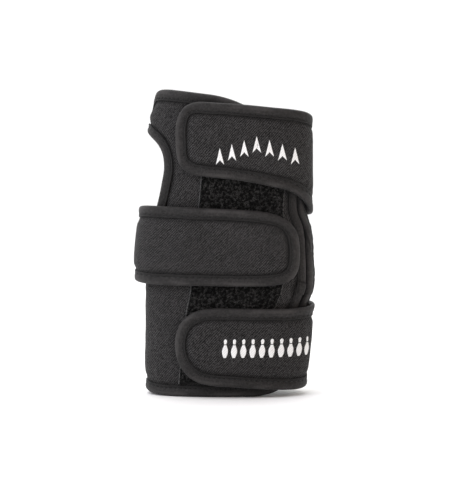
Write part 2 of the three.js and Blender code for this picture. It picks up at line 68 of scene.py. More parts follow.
# up, left, right, depth, back, as shares of the form's sizes
sections = np.array([
    [0, -0.495, 0.405, 1, 0],
    [0.067, -0.496, 0.416, 1, 0],
    [0.167, -0.496, 0.434, 0.99, 0],
    [0.28, -0.496, 0.454, 0.97, 0],
    [0.344, -0.495, 0.498, 0.95, 0],
    [0.444, -0.498, 0.502, 0.92, 0.005],
    [0.544, -0.482, 0.488, 0.9, 0.01],
    [0.6, -0.47, 0.45, 0.9, 0.02],
    [0.65, -0.466, 0.445, 0.9, 0.03],
    [0.778, -0.466, 0.442, 0.93, 0.05],
    [0.889, -0.472, 0.444, 0.92, 0.08],
    [0.956, -0.443, 0.44, 0.89, 0.1],
    [1, -0.425, 0.434, 0.86, 0.11],
])


def smooth(places, values, at):
    # cubic through a table, flat beyond its ends
    places = np.asarray(places, float)
    values = np.asarray(values, float)
    at = np.clip(at, places[0], places[-1])
    slopes = np.empty_like(values)
    slopes[1:-1] = (values[2:] - values[:-2]) / (places[2:] - places[:-2])
    slopes[0] = (values[1] - values[0]) / (places[1] - places[0])
    slopes[-1] = (values[-1] - values[-2]) / (places[-1] - places[-2])
    index = np.clip(np.searchsorted(places, at, side="right") - 1, 0, len(places) - 2)
    span = places[index + 1] - places[index]
    t = (at - places[index]) / span
    rise = values[index + 1] - values[index]
    start, end = slopes[index] * span, slopes[index + 1] * span
    square, cube = 3 * rise - 2 * start - end, start + end - 2 * rise
    return values[index] + start * t + square * t**2 + cube * t**3


def ease(value, low, high):
    t = np.clip((np.asarray(value, float) - low) / (high - low), 0, 1)
    return t * t * (3 - 2 * t)


def measureOval():
    angle = np.linspace(-math.pi / 2, 1.5 * math.pi, 2881)
    x, y = np.cos(angle), np.sin(angle)
    power = form["ovalPower"]
    size = (np.abs(x / (form["width"] / 2))**power + np.abs(y / (form["depth"] / 2))**power)**(-1 / power)
    x, y = x * size, y * size
    length = np.concatenate([[0], np.cumsum(np.hypot(np.diff(x), np.diff(y)))])
    return length, x / (form["width"] / 2), y / (form["depth"] / 2)


ovalLength, ovalX, ovalY = measureOval()
girth = ovalLength[-1]
halfGirth = girth / 2


def surface(s, z, lift):
    # points of the form from lengths on the pattern and the lift off the middle of the wall
    s, z, lift = np.broadcast_arrays(np.asarray(s, float), np.asarray(z, float), np.asarray(lift, float))
    up = z / form["height"]
    left = smooth(sections[:, 0], sections[:, 1], up) * form["width"]
    right = smooth(sections[:, 0], sections[:, 2], up) * form["width"]
    halfWidth = (right - left) / 2
    halfDepth = smooth(sections[:, 0], sections[:, 3], up) * form["depth"] / 2
    back = smooth(sections[:, 0], sections[:, 4], up) * form["depth"]
    x = np.interp(np.mod(s, girth), ovalLength, ovalX)
    y = np.interp(np.mod(s, girth), ovalLength, ovalY)
    power = form["ovalPower"] - 1
    slopeX = np.sign(x) * np.abs(x)**power / halfWidth
    slopeY = np.sign(y) * np.abs(y)**power / halfDepth
    slope = np.hypot(slopeX, slopeY)
    return np.stack([
        (left + right) / 2 + x * halfWidth + lift * slopeX / slope,
        back + y * halfDepth + lift * slopeY / slope,
        z,
    ], -1)


def smoothPath(rows, closed, step):
    # even steps along a smooth curve through shares of half the girth and of the height
    points = np.array(rows, float) * [halfGirth, form["height"]]
    count = len(points)
    dense = []
    for i in range(count if closed else count - 1):
        p1, p2 = points[i], points[(i + 1) % count]
        p0 = points[i - 1] if closed or i > 0 else 2 * p1 - p2
        p3 = points[(i + 2) % count] if closed or i < count - 2 else 2 * p2 - p1
        d0, d1, d2 = [math.sqrt(np.linalg.norm(b - a)) for a, b in ((p0, p1), (p1, p2), (p2, p3))]
        m1 = ((p1 - p0) / d0 - (p2 - p0) / (d0 + d1) + (p2 - p1) / d1) * d1
        m2 = ((p2 - p1) / d1 - (p3 - p1) / (d1 + d2) + (p3 - p2) / d2) * d1
        t = np.linspace(0, 1, 40, endpoint=False)[:, None]
        square, cube = -3 * p1 + 3 * p2 - 2 * m1 - m2, 2 * p1 - 2 * p2 + m1 + m2
        dense.append(p1 + m1 * t + square * t**2 + cube * t**3)
    dense.append(points[:1] if closed else points[-1:])
    dense = np.concatenate(dense)
    length = np.concatenate([[0], np.cumsum(np.hypot(*np.diff(dense, axis=0).T))])
    steps = max(int(round(length[-1] / step)), 4)
    at = np.linspace(0, length[-1], steps + 1)
    s, z = [np.interp(at, length, column) for column in dense.T]
    path = np.stack([s, np.maximum(z, 0)], -1)
    if closed:
        path, at = path[:-1], at[:-1]
    return path, at


class Edge:
    # a finished edge on the pattern, with the direction into the cloth that it bounds
    def __init__(self, rows, closed, side, step=0.8):
        self.path, self.length = smoothPath(rows, closed, step)
        self.closed = closed
        if closed:
            along = np.roll(self.path, -1, 0) - np.roll(self.path, 1, 0)
        else:
            along = np.gradient(self.path, axis=0)
        along /= np.linalg.norm(along, axis=1)[:, None]
        self.inward = np.stack([-side * along[:, 1], side * along[:, 0]], -1)

    def at(self, lengths, across):
        # points at lengths along the edge and at distances into the cloth
        if self.closed:
            total = self.length[-1] + self.length[1]
            base = np.append(self.length, total)
            path = np.vstack([self.path, self.path[:1]])
            inward = np.vstack([self.inward, self.inward[:1]])
            lengths = np.mod(lengths, total)
        else:
            base, path, inward = self.length, self.path, self.inward
        return [
            np.interp(lengths, base, path[:, k]) + np.interp(lengths, base, inward[:, k]) * across
            for k in (0, 1)]


# Edges and straps: lengths round as shares of half the girth, and up as shares of the height
handRows = [
    [0.396, 0.36], [0.397, 0.44], [0.395, 0.56], [0.391, 0.7], [0.389, 0.82], [0.375, 0.872],
    [0.33, 0.9], [0.25, 0.918], [0.12, 0.943], [0.01, 0.968], [-0.077, 0.981], [-0.181, 0.989],
    [-0.289, 0.996], [-0.37, 1], [-0.415, 1], [-0.447, 0.998], [-0.475, 0.992], [-0.505, 0.978],
    [-0.545, 0.952], [-0.6, 0.922], [-0.7, 0.902], [-0.85, 0.887], [-1, 0.878], [-1.2, 0.872],
    [-1.4, 0.866], [-1.52, 0.862], [-1.565, 0.85], [-1.588, 0.815], [-1.59, 0.7], [-1.59, 0.5],
    [-1.589, 0.36],
]
handEdge = Edge(handRows, False, 1)
forearmEdge = Edge([
    [0.386, 0.358], [0.388, 0.3], [0.389, 0.2], [0.386, 0.12], [0.374, 0.064], [0.35, 0.034],
    [0.31, 0.017], [0.25, 0.006], [0.18, 0], [0.1, 0.001], [-0.02, 0], [-0.15, 0], [-0.3, 0],
    [-0.4, 0.004], [-0.5, 0.013], [-0.6, 0.004], [-0.7, 0], [-0.85, 0], [-1, 0], [-1.1, 0.001],
    [-1.18, 0.006], [-1.26, 0.03], [-1.36, 0.075], [-1.46, 0.12], [-1.54, 0.165], [-1.58, 0.215],
    [-1.589, 0.27], [-1.589, 0.358],
], False, -1)
thumbEdge = Edge([
    [-0.5, 0.852], [-0.425, 0.835], [-0.386, 0.813], [-0.365, 0.785], [-0.359, 0.745], [-0.372, 0.7],
    [-0.391, 0.65], [-0.416, 0.6], [-0.448, 0.552], [-0.5, 0.528], [-0.56, 0.552], [-0.595, 0.6],
    [-0.62, 0.65], [-0.638, 0.7], [-0.653, 0.745], [-0.647, 0.785], [-0.624, 0.812], [-0.575, 0.835],
], True, 1)

# climb: where round the girth a strap lies on the wall (0), over a bound edge (1), over loops (2)
straps = {
    "top": {
        "edge": [
            [0.74, 0.58], [0.62, 0.582], [0.54, 0.588], [0.49, 0.599], [0.45, 0.614], [0.41, 0.634],
            [0.365, 0.655], [0.305, 0.674], [0.226, 0.686], [0.156, 0.696], [0.02, 0.71], [-0.12, 0.719],
            [-0.19, 0.727],
            [-0.245, 0.751], [-0.266, 0.79], [-0.268, 0.84], [-0.266, 0.885], [-0.257, 0.921],
            [-0.23, 0.948], [-0.18, 0.96], [-0.06, 0.958], [0.104, 0.951], [0.23, 0.943],
            [0.337, 0.936], [0.411, 0.928], [0.5, 0.911], [0.6, 0.89], [0.74, 0.87],
        ],
        "climb": [
            [-0.26, 1.3], [-0.19, 1.6], [-0.1, 2], [0.3, 2], [0.4, 1.2], [0.46, 0.6], [0.5, 0.25],
            [0.56, 0.2], [0.74, 0.2],
        ],
        "seed": 3,
    },
    "middle": {
        "edge": [
            [-0.78, 0.385], [-0.65, 0.38], [-0.5, 0.372], [-0.396, 0.367], [-0.283, 0.365], [-0.146, 0.365],
            [0.07, 0.363], [0.2, 0.365], [0.265, 0.374], [0.31, 0.396], [0.331, 0.426], [0.337, 0.46],
            [0.336, 0.5], [0.328, 0.535], [0.3, 0.57], [0.25, 0.594], [0.183, 0.605], [0.073, 0.612],
            [-0.154, 0.618], [-0.3, 0.621], [-0.422, 0.622], [-0.5, 0.617], [-0.62, 0.607], [-0.78, 0.6],
        ],
        "climb": [
            [-0.78, 0], [-0.7, 0.6], [-0.62, 1.4], [-0.5, 1.8], [-0.4, 1.6], [-0.3, 1.4], [-0.21, 2],
            [0.29, 2], [0.34, 1.2],
        ],
        "seed": 8,
    },
    "bottom": {
        "edge": [
            [0.74, 0.06], [0.62, 0.047], [0.5, 0.028], [0.407, 0.021], [0.183, 0.029], [0.05, 0.036],
            [-0.049, 0.04], [-0.13, 0.051], [-0.194, 0.078], [-0.238, 0.122], [-0.254, 0.17],
            [-0.244, 0.218], [-0.21, 0.257], [-0.15, 0.283], [-0.08, 0.292], [0.084, 0.292],
            [0.226, 0.29], [0.331, 0.289], [0.396, 0.291], [0.5, 0.297], [0.62, 0.306], [0.74, 0.316],
        ],
        "climb": [
            [-0.25, 1.1], [-0.2, 1.8], [-0.15, 2], [0.27, 2], [0.38, 1.2], [0.46, 0.6], [0.5, 0.25],
            [0.56, 0.2], [0.74, 0.2],
        ],
        "seed": 14,
    },
}

fieldLift = form["wall"] / 2 + form["gap"]
field = {
    "width": 53.5,
    "footAround": -0.012, "footUp": 0.054, "footSlant": 0.09,
    "headAround": 0.104, "headUp": 0.845, "headSlant": -0.1,
}


def fieldPoint(across, share):
    # across in millimetres from the field's middle line, share from its foot to its head
    around = field["footAround"] + (field["headAround"] - field["footAround"]) * share
    up = field["footUp"] + (field["headUp"] - field["footUp"]) * share
    slant = field["footSlant"] + (field["headSlant"] - field["footSlant"]) * share
    return around * halfGirth + across, up * form["height"] + across * slant


def findShift():
    # how far the solids' frame lies from the pattern's own, read from the loop field's box
    across, share = np.meshgrid(np.linspace(-0.5, 0.5, 9) * field["width"], np.linspace(0, 1, 11))
    s, z = fieldPoint(across, share)
    lifts = fieldLift, fieldLift + form["loop"]
    points = np.concatenate([surface(s, z, lift).reshape(-1, 3) for lift in lifts])
    low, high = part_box("loop_field")
    return np.array([low.x / millimetre - points[:, 0].min(), high.y / millimetre - points[:, 1].max(), 0])


patternShift = findShift()
print("pattern shift", patternShift.round(3))


def unevenness(s, z, size, seed):
    # soft random relief, mostly between -1 and 1, with waves of about the given size
    random = np.random.default_rng(seed)
    total = 0
    for _ in range(14):
        angle = random.uniform(0, math.pi)
        wave = 2 * math.pi / (size * random.uniform(0.7, 1.6))
        total = total + np.cos((s * math.cos(angle) + z * math.sin(angle)) * wave + random.uniform(0, 6.3))
    return total / 5.2


def addMesh(name, points, faces, pattern, material):
    # points in pattern-frame millimetres; pattern holds the lengths that the material reads
    mesh = bpy.data.meshes.new(name)
    if isinstance(faces, np.ndarray):
        faces = faces.tolist()
    places = ((points + patternShift) * millimetre).reshape(-1, 3)
    mesh.from_pydata(places.tolist(), [], faces)
    mesh.update()
    mesh.attributes.new("pattern", "FLOAT_VECTOR", "POINT").data.foreach_set(
        "vector", np.asarray(pattern, np.float32).ravel())
    mesh.shade_smooth()
    mesh.materials.append(material)
    piece = bpy.data.objects.new(name, mesh)
    bpy.context.scene.collection.objects.link(piece)
    return piece


def addShare(piece, name, values):
    # a value from 0 to 1 at each point, for the material to read
    values = np.asarray(values, np.float32).ravel()
    piece.data.attributes.new(name, "FLOAT", "POINT").data.foreach_set("value", values)


def outward(piece):
    # turn all faces of a closed piece to look out of it
    turned = bmesh.new()
    turned.from_mesh(piece.data)
    bmesh.ops.recalc_face_normals(turned, faces=turned.faces)
    turned.to_mesh(piece.data)
    turned.free()
    piece.data.shade_smooth()
    return piece


def gridQuads(index):
    corners = [index[:-1, :-1], index[1:, :-1], index[1:, 1:], index[:-1, 1:]]
    return np.stack(corners, -1).reshape(-1, 4)


def slabFaces(shape, start=0):
    # a closed slab between a grid of upper points and the same grid of lower ones after it
    index = np.arange(shape[0] * shape[1]).reshape(shape) + start
    quads = gridQuads(index)
    rim = np.concatenate([index[:-1, 0], index[-1, :-1], index[:0:-1, -1], index[0, :0:-1]])
    after = np.roll(rim, -1)
    walls = np.stack([rim + index.size, after + index.size, after, rim], -1)
    return np.concatenate([quads, quads[:, ::-1] + index.size, walls])


def sweepFaces(rings, sides, closed=False, start=0):
    # faces along a swept section, with both ends shut where the sweep doesn't meet itself
    index = np.arange(rings * sides).reshape(rings, sides) + start
    after = np.roll(index, -1, 1)
    walls = np.stack([index, np.roll(index, -1, 0), np.roll(after, -1, 0), after], -1)
    if closed:
        return walls.reshape(-1, 4).tolist()
    return walls[:-1].reshape(-1, 4).tolist() + [index[0].tolist(), index[-1, ::-1].tolist()]


def unit(vectors):
    return vectors / np.linalg.norm(vectors, axis=-1, keepdims=True)


def tubePoints(centre, beside, above, radius, sides):
    turn = np.arange(sides) * 2 * math.pi / sides
    ring = beside[:, :, None] * np.cos(turn)[:, None] + above[:, :, None] * np.sin(turn)[:, None]
    return centre[:, :, None] + radius * ring


def addTubes(name, points, pattern, material):
    # a closed tube for each row of rings
    count, rings, sides = points.shape[:3]
    one = sweepFaces(rings, sides)
    starts = range(0, count * rings * sides, rings * sides)
    faces = [[corner + start for corner in reversed(face)] for start in starts for face in one]
    return addMesh(name, points, faces, pattern, material)


# One socket of a material's nodes: values take plain arithmetic, any other node comes from make
class Shade:
    def __init__(self, tree, socket=None):
        self.tree = tree
        self.socket = socket

    def make(self, kind, settings=None, inputs=None, output=0):
        node = self.tree.nodes.new(kind)
        for name, value in (settings or {}).items():
            setattr(node, name, value)
        for name, value in (inputs or {}).items():
            if isinstance(value, Shade):
                self.tree.links.new(value.socket, node.inputs[name])
            else:
                node.inputs[name].default_value = value
        return Shade(self.tree, node.outputs[output])

    def math(self, operation, *values):
        return self.make("ShaderNodeMath", {"operation": operation}, dict(enumerate(values)))

    def __add__(self, other):
        return self.math("ADD", self, other)

    def __radd__(self, other):
        return self.math("ADD", other, self)

    def __sub__(self, other):
        return self.math("SUBTRACT", self, other)

    def __rsub__(self, other):
        return self.math("SUBTRACT", other, self)

    def __mul__(self, other):
        return self.math("MULTIPLY", self, other)

    def __rmul__(self, other):
        return self.math("MULTIPLY", other, self)

    def between(self, low, high):
        # 0 below the lower value and 1 above the higher one
        return self.make(
            "ShaderNodeMapRange", {"interpolation_type": "SMOOTHSTEP"},
            {"Value": self, "From Min": low, "From Max": high})

    def blend(self, first, second):
        # colour that goes from the first to the second as this value goes from 0 to 1
        return self.make("ShaderNodeMix", {"data_type": "RGBA"}, {0: self, 6: first, 7: second}, 2)

    def wave(self, length):
        return self.math("SINE", self * (2 * math.pi / length))

    def size(self):
        return self.math("ABSOLUTE", self)

    def noise(self, scale, detail=2.0):
        return self.make("ShaderNodeTexNoise", None, {"Vector": self, "Scale": scale, "Detail": detail})

    def parts(self):
        kind = "ShaderNodeSeparateXYZ"
        return [self.make(kind, None, {"Vector": self}, axis) for axis in ("X", "Y", "Z")]

    def attribute(self, name, output="Fac"):
        return self.make("ShaderNodeAttribute", {"attribute_name": name}, None, output)

    def bump(self, millimetres):
        distance = millimetres * millimetre
        return self.make("ShaderNodeBump", None, {"Height": self, "Strength": 1.0, "Distance": distance})


def grey(level, warmth=0.0, rose=0.0):
    return (level * (1 + warmth), level * (1 - rose), level * (1 - warmth), 1)


def newFinish(name, coordinates="pattern"):
    # a new material and the place that it reads, on the pattern or in the piece's own metres
    finish = bpy.data.materials.new(name)
    finish.use_nodes = True
    shade = Shade(finish.node_tree)
    if coordinates == "pattern":
        return finish, shade.attribute("pattern", "Vector")
    return finish, shade.make("ShaderNodeTexCoord", None, None, coordinates)


def connect(finish, inputs):
    shader = finish.node_tree.nodes["Principled BSDF"]
    for name, value in inputs.items():
        if isinstance(value, Shade):
            finish.node_tree.links.new(value.socket, shader.inputs[name])
        else:
            shader.inputs[name].default_value = value
    return finish


twill = {
    "pitch": 1.12,          # millimetres across the diagonal ribs
    "slope": 0.94,
    "stretch": 1.37,        # pitch along the girth for one across the ribs
    "yarn": 0.9,            # millimetres along a rib
    "yarnSlope": 0.8,
    "yarnStretch": 1.28,
    "dark": 0.0025,
    "light": 0.05,
    "relief": 0.24,
    "lint": 0.06,
    "groove": 0.62,         # how dark the painted shade is in the hollow beside its tape
    "grooveShadeGrey": 0.003,
}


def makeCloth():
    finish, place = newFinish("padded_weave")
    across, up, _ = place.parts()
    drift = place.noise(0.3, 1.0) * 1.3
    ribs = (across - up * twill["slope"] + drift).wave(twill["pitch"] * twill["stretch"])
    yarns = (across + up * twill["yarnSlope"] + drift).wave(twill["yarn"] * twill["yarnStretch"])
    fibres = place.noise(2.4, 3.0)
    slubs = place.noise(1.05, 2.0)
    relief = ribs * 0.25 + yarns * 0.14 + (fibres - 0.5) * 1.0 + (slubs - 0.5) * 1.4 + 0.5
    patches = place.noise(0.05, 3.0)
    level = relief.between(0.05, 1.05) * (0.74 + patches * 0.5)
    colour = level.blend(grey(twill["dark"]), grey(twill["light"], 0.015, 0.03))
    colour = place.noise(2.6, 0.0).between(0.755, 0.8).blend(colour, grey(twill["lint"]))
    # painted shade: the cloth is darkened in the hollow beside its tape, where shade falls, more in some
    # patches than in others
    paintedShade = place.attribute("paintedShade") * (0.55 + patches * 0.9) * twill["groove"]
    return connect(finish, {
        "Base Color": paintedShade.blend(colour, grey(twill["grooveShadeGrey"])),
        "Roughness": 0.9 - relief * 0.2,
        "Normal": relief.bump(twill["relief"]),
        "Specular IOR Level": 0.16,
        "Sheen Weight": 0.03,
        "Sheen Roughness": 0.4,
    })


stitching = {
    "pitch": 3.2,           # millimetres from stitch to stitch
    "length": 2.3,
    "radius": 0.2,
    "fromEdge": 5.0,        # how far the row runs from the finished edge
    "pull": 0.28,           # how far each needle hole draws the tape down
    "grooveShare": 0.75,    # height of the sewn groove, as a share of the tape's crown
}


tapeWeave = {
    "rib": 0.62,            # millimetres between the cords that run across the tape
    "line": 0.45,
    "dark": 0.004,
    "light": 0.036,
    "rubbed": 0.05,
    "relief": 0.1,
    "lapShadeGrey": 0.003,
}


def makeTape():
    finish, place = newFinish("binding_weave")
    along, across, _ = place.parts()
    cords = (along + place.noise(0.5, 1.0) * 0.5).wave(tapeWeave["rib"])
    lines = across.wave(tapeWeave["line"])
    fibres = place.noise(6.0, 2.0)
    slubs = place.noise(0.9, 2.0)
    relief = cords * 0.22 + lines * 0.1 + (fibres - 0.5) * 0.5 + (slubs - 0.5) * 0.9 + 0.5
    patches = place.noise(0.09, 2.0)
    level = relief.between(0.0, 1.1) * (0.6 + patches * 0.8)
    rubbed = (1 - (across - 1.6).size().between(0.2, 1.7)) * patches.between(0.35, 0.65) * 0.5
    colour = level.blend(grey(tapeWeave["dark"]), grey(tapeWeave["light"], 0.04, 0.035))
    colour = rubbed.blend(colour, grey(tapeWeave["rubbed"], 0.04, 0.03))
    # painted shade: the tape is darkened from its sewn groove out to its lip
    stitchGrooveShade = across.between(stitching["fromEdge"] - 0.6, stitching["fromEdge"] + 0.1)
    colour = (stitchGrooveShade * (0.2 + patches * 0.7)).blend(colour, grey(tapeWeave["dark"]))
    # painted shade: a dark line along each end where the tape laps over itself
    lapEndShade = place.attribute("paintedShade").between(0.62, 0.93) * 0.85
    return connect(finish, {
        "Base Color": lapEndShade.blend(colour, grey(tapeWeave["lapShadeGrey"])),
        "Roughness": 0.72 - relief * 0.14,
        "Normal": relief.bump(tapeWeave["relief"]),
        "Specular IOR Level": 0.2,
        "Sheen Weight": 0.03,
        "Sheen Roughness": 0.4,
    })


selvedgeWeave = {"rib": 0.7, "dark": 0.025, "light": 0.1, "relief": 0.08}


def makeSelvedge():
    finish, place = newFinish("selvedge_weave")
    along, _, _ = place.parts()
    relief = along.wave(selvedgeWeave["rib"]) * 0.3 + place.noise(1.2, 2.0)
    return connect(finish, {
        "Base Color": relief.between(0.1, 0.9).blend(
            grey(selvedgeWeave["dark"]), grey(selvedgeWeave["light"])),
        "Roughness": 0.8 - relief * 0.15,
        "Normal": relief.bump(selvedgeWeave["relief"]),
        "Specular IOR Level": 0.2,
    })


threadTwist = {"pitch": 0.5, "dark": 0.006, "light": 0.02, "relief": 0.05}


def makeThread():
    finish, place = newFinish("sewing_thread")
    along, across, _ = place.parts()
    twist = (along * 1.6 + across * 4).wave(threadTwist["pitch"])
    relief = twist * 0.4 + place.noise(4.0, 2.0) * 0.4 + 0.3
    return connect(finish, {
        "Base Color": relief.between(0, 1).blend(grey(threadTwist["dark"]), grey(threadTwist["light"])),
        "Roughness": 0.62 - relief * 0.1,
        "Normal": relief.bump(threadTwist["relief"]),
        "Specular IOR Level": 0.3,
    })


pile = {
    "tufts": 0.62,          # how close the tufts and the fibres stand
    "fibres": 2.2,
    # colour deep in the pile, in painted shade, and at the tips of its fibres
    "dark": 0.0015,
    "light": 0.085,
    "relief": 0.3,
}


def makePile():
    finish, place = newFinish("loop_fibres")
    tufts = place.noise(pile["tufts"], 2.0)
    fibres = place.noise(pile["fibres"], 2.0)
    relief = tufts * 0.5 + fibres * 0.5
    level = tufts.between(0.44, 0.6) * (0.25 + fibres.between(0.42, 0.6) * 0.75)
    # painted shade: the pile is darker towards its ground and lighter at the tips of its fibres, by height
    height = place.parts()[2].between(fieldLift + 0.75, fieldLift + form["loop"] + 0.35)
    return connect(finish, {
        "Base Color": (level * (0.1 + height * 0.9)).blend(grey(pile["dark"]), grey(pile["light"], 0.02)),
        "Roughness": 0.9 - fibres * 0.2,
        "Normal": relief.bump(pile["relief"]),
        "Specular IOR Level": 0.12,
        "Sheen Weight": 0.02,
        "Sheen Roughness": 0.5,
    })


# rows of moulded hooks on a woven ground, with pitches in metres
hooks = {"rows": 0.0016, "hooks": 0.0012, "dark": 0.008, "light": 0.035, "relief": 0.4}


def makeHooks():
    finish, place = newFinish("hook_rows", "Object")
    sideways, _, up = place.parts()
    relief = up.wave(hooks["rows"]) * sideways.wave(hooks["hooks"]) * 0.4 + place.noise(900.0) * 0.3 + 0.4
    return connect(finish, {
        "Base Color": relief.between(0.2, 0.9).blend(grey(hooks["dark"]), grey(hooks["light"])),
        "Roughness": 0.6 - relief * 0.2,
        "Normal": relief.bump(hooks["relief"]),
    })


ink = {"dark": 0.66, "light": 0.84, "worn": 0.3, "relief": 0.1}


def makeInk():
    finish, place = newFinish("printed_ink")
    across, up, _ = place.parts()
    ribs = (across - up * twill["slope"]).wave(twill["pitch"] * twill["stretch"])
    grain = place.noise(4.0, 3.0)
    relief = ribs * 0.25 + grain * 0.5 + 0.25
    white = relief.between(0, 0.8).blend(grey(ink["dark"]), grey(ink["light"]))
    worn = place.noise(2.2, 2.0).between(0.66, 0.8)
    return connect(finish, {
        "Base Color": worn.blend(white, grey(ink["worn"])),
        "Roughness": 0.62 + grain * 0.2,
        "Normal": relief.bump(ink["relief"]),
    })


clothFinish = makeCloth()
bindingFinish = makeTape()
selvedgeFinish = makeSelvedge()
threadFinish = makeThread()
pileFinish = makePile()
hookFinish = makeHooks()
inkFinish = makeInk()
print("finishes made")


# The padding's relief comes from a flat cloth that swells under pressure between its sewn edges
swelling = {
    "step": 1.5,            # millimetres between the cloth's points
    "scale": 0.01,          # length that stands for a millimetre while the cloth moves
    "pressure": 4.0,
    "grow": 0.035,          # share by which the cloth is too large for its edges
    "frames": 20,
    "crown": 0.35,          # millimetres that the middle rises
    "wrinkles": 0.5,        # share of the finer relief that is kept
    "most": 0.45,           # millimetres that it may come to
    "held": 0.3,            # how far beyond the tape the cloth is held
    "blur": 4,              # steps over which the broad relief is averaged
}


def blurred(grid, cells):
    for axis in (0, 1, 0, 1, 0, 1):
        padded = np.pad(grid, [(cells, cells) if k == axis else (0, 0) for k in (0, 1)], mode="edge")
        total = np.cumsum(np.insert(padded, 0, 0, axis), axis)
        span = 2 * cells + 1
        grid = (np.take(total, range(span, total.shape[axis]), axis)
                - np.take(total, range(total.shape[axis] - span), axis)) / span
    return grid


def swell(layer, box):
    # heights of the swollen cloth on an even grid over the pattern
    step, scale = swelling["step"], swelling["scale"]
    columns = np.arange(box[0], box[1] + step, step)
    rows = np.arange(box[2], box[3] + step, step)
    s, z = np.meshgrid(columns, rows, indexing="ij")
    distance = layer.nearest(s, z)[0]
    points = np.stack([s * scale, z * scale, s * 0], -1).reshape(-1, 3)
    quads = gridQuads(np.arange(s.size).reshape(s.shape))
    mesh = bpy.data.meshes.new("swelling")
    mesh.from_pydata(points.tolist(), [], quads.tolist())
    cloth = bpy.data.objects.new("swelling", mesh)
    scene = bpy.context.scene
    scene.collection.objects.link(cloth)
    sewn = cloth.vertex_groups.new(name="sewn")
    held = distance.ravel() < form["tapeWidth"] + swelling["held"]
    sewn.add(np.flatnonzero(held).tolist(), 1.0, "REPLACE")
    modifier = cloth.modifiers.new("swelling", "CLOTH")
    modifier.point_cache.frame_start = 1
    modifier.point_cache.frame_end = swelling["frames"]
    settings = modifier.settings
    settings.vertex_group_mass = "sewn"
    settings.use_pressure = True
    settings.uniform_pressure_force = swelling["pressure"]
    settings.shrink_min = -swelling["grow"]
    settings.effector_weights.gravity = 0
    settings.quality = 5
    modifier.collision_settings.use_collision = False
    for moment in range(1, swelling["frames"] + 1):
        scene.frame_set(moment)
    moved = cloth.evaluated_get(bpy.context.evaluated_depsgraph_get())
    places = np.empty(s.size * 3, np.float32)
    moved.data.vertices.foreach_get("co", places)
    height = places.reshape(-1, 3)[:, 2].reshape(s.shape).astype(float) / scale
    bpy.data.objects.remove(cloth)
    bpy.data.meshes.remove(mesh)
    scene.frame_set(1)
    broad = blurred(height, swelling["blur"])
    fine = (height - broad) * swelling["wrinkles"]
    relief = broad / max(broad.max(), 1e-6) * swelling["crown"] + fine
    print("cloth swelled", height.shape, "height", height.max().round(2), "fine", fine.std().round(3))
    return np.clip(relief, -swelling["most"], swelling["most"])


padding = {
    "farSide": 500,         # sets the far side's pattern and waves apart from the near side's
    "rise": (-1.0, 4.2),    # from where to where the padding rises, beyond the tape's lip
    "pucker": 0.1,          # height of the puckers that the stitches draw
    "puckerReach": 2.6,
    "paintedShade": (0.2, 2.6),   # from where to where the painted shade in the hollow beside a tape fades
    "swellReach": 2.5,      # how far from the tape the swelling is full
    "waves": ((0.55, 34), (0.3, 13)),
}


class Layer:
    # a padded layer on the pattern, with the finished edges that bound it
    def __init__(self, edges, level, pressed, full, grain, seed, covers=()):
        self.level = level
        self.pressed = pressed / 2
        self.full = full / 2
        self.grain = grain
        self.seed = seed
        self.covers = covers
        self.points = np.concatenate([edge.path for edge in edges])
        self.inward = np.concatenate([edge.inward for edge in edges])
        self.lengths = np.concatenate([edge.length + 1000 * i for i, edge in enumerate(edges)])
        self.tree = kdtree.KDTree(len(self.points))
        for i, point in enumerate(self.points):
            self.tree.insert((point[0], point[1], 0), i)
        self.tree.balance()
        self.relief = None

    def fill(self, box):
        # let the layer's cloth swell; a quick trial goes without
        self.corner = box[0], box[2]
        self.relief = swell(self, box)

    def swollen(self, s, z, distance):
        # relief between the cloth's points, from a soft random one where none was made
        rise = ease(distance, form["tapeWidth"], form["tapeWidth"] + padding["swellReach"])
        if self.relief is None:
            return self.grain * rise * unevenness(s, z, 20, self.seed)
        places = []
        for value, low, size in zip((s, z), self.corner, self.relief.shape):
            places.append(np.clip((value - low) / swelling["step"], 0, size - 1.001))
        (i, j), (u, v) = [np.floor(p).astype(int) for p in places], [p % 1 for p in places]
        grid = self.relief
        return rise * ((grid[i, j] * (1 - u) + grid[i + 1, j] * u) * (1 - v)
                       + (grid[i, j + 1] * (1 - u) + grid[i + 1, j + 1] * u) * v)

    def nearest(self, s, z):
        # distance into the layer from its nearest finished edge, place along it and way inward
        places = np.stack([np.ravel(s), np.ravel(z)], -1)
        index = np.array([self.tree.find((a, b, 0))[1] for a, b in places])
        way = places - self.points[index]
        inward = self.inward[index]
        across = (way * inward).sum(1)
        beside = way[:, 0] * inward[:, 1] - way[:, 1] * inward[:, 0]
        straight = np.hypot(*way.T)
        distance = np.where(straight > 2, np.sign(across) * straight, across)
        along = self.lengths[index] + beside
        shape = np.shape(s)
        return distance.reshape(shape), along.reshape(shape), inward.reshape(shape + (2,))

    def half(self, distance, along, s, z):
        # half the thickness: pressed under the tape, puckered at its stitches, swelled beyond
        lip = form["tapeWidth"]
        rise = ease(distance, lip + padding["rise"][0], lip + padding["rise"][1])
        fade = np.exp(-np.clip(distance - lip, 0, 40) / padding["puckerReach"])
        pucker = np.cos(along * 2 * math.pi / stitching["pitch"]) * fade * ease(distance, 5.0, 7.0)
        waves = sum(
            share * unevenness(s, z, size, self.seed + i)
            for i, (share, size) in enumerate(padding["waves"]))
        plain = self.pressed + (self.full - self.pressed) * rise
        return plain + padding["pucker"] * pucker + self.grain * rise * waves

    def top(self, s, z):
        distance, along, _ = self.nearest(s, z)
        lift = self.level(s) + self.half(distance, along, s, z) + self.swollen(s, z, distance)
        for cover, press in self.covers:
            lift = lift + press(cover.nearest(s, z)[0])
        return lift

    def under(self, s, z):
        distance, along, _ = self.nearest(s, z)
        return self.level(s) - self.half(distance, along, s + padding["farSide"], z) + 0.04


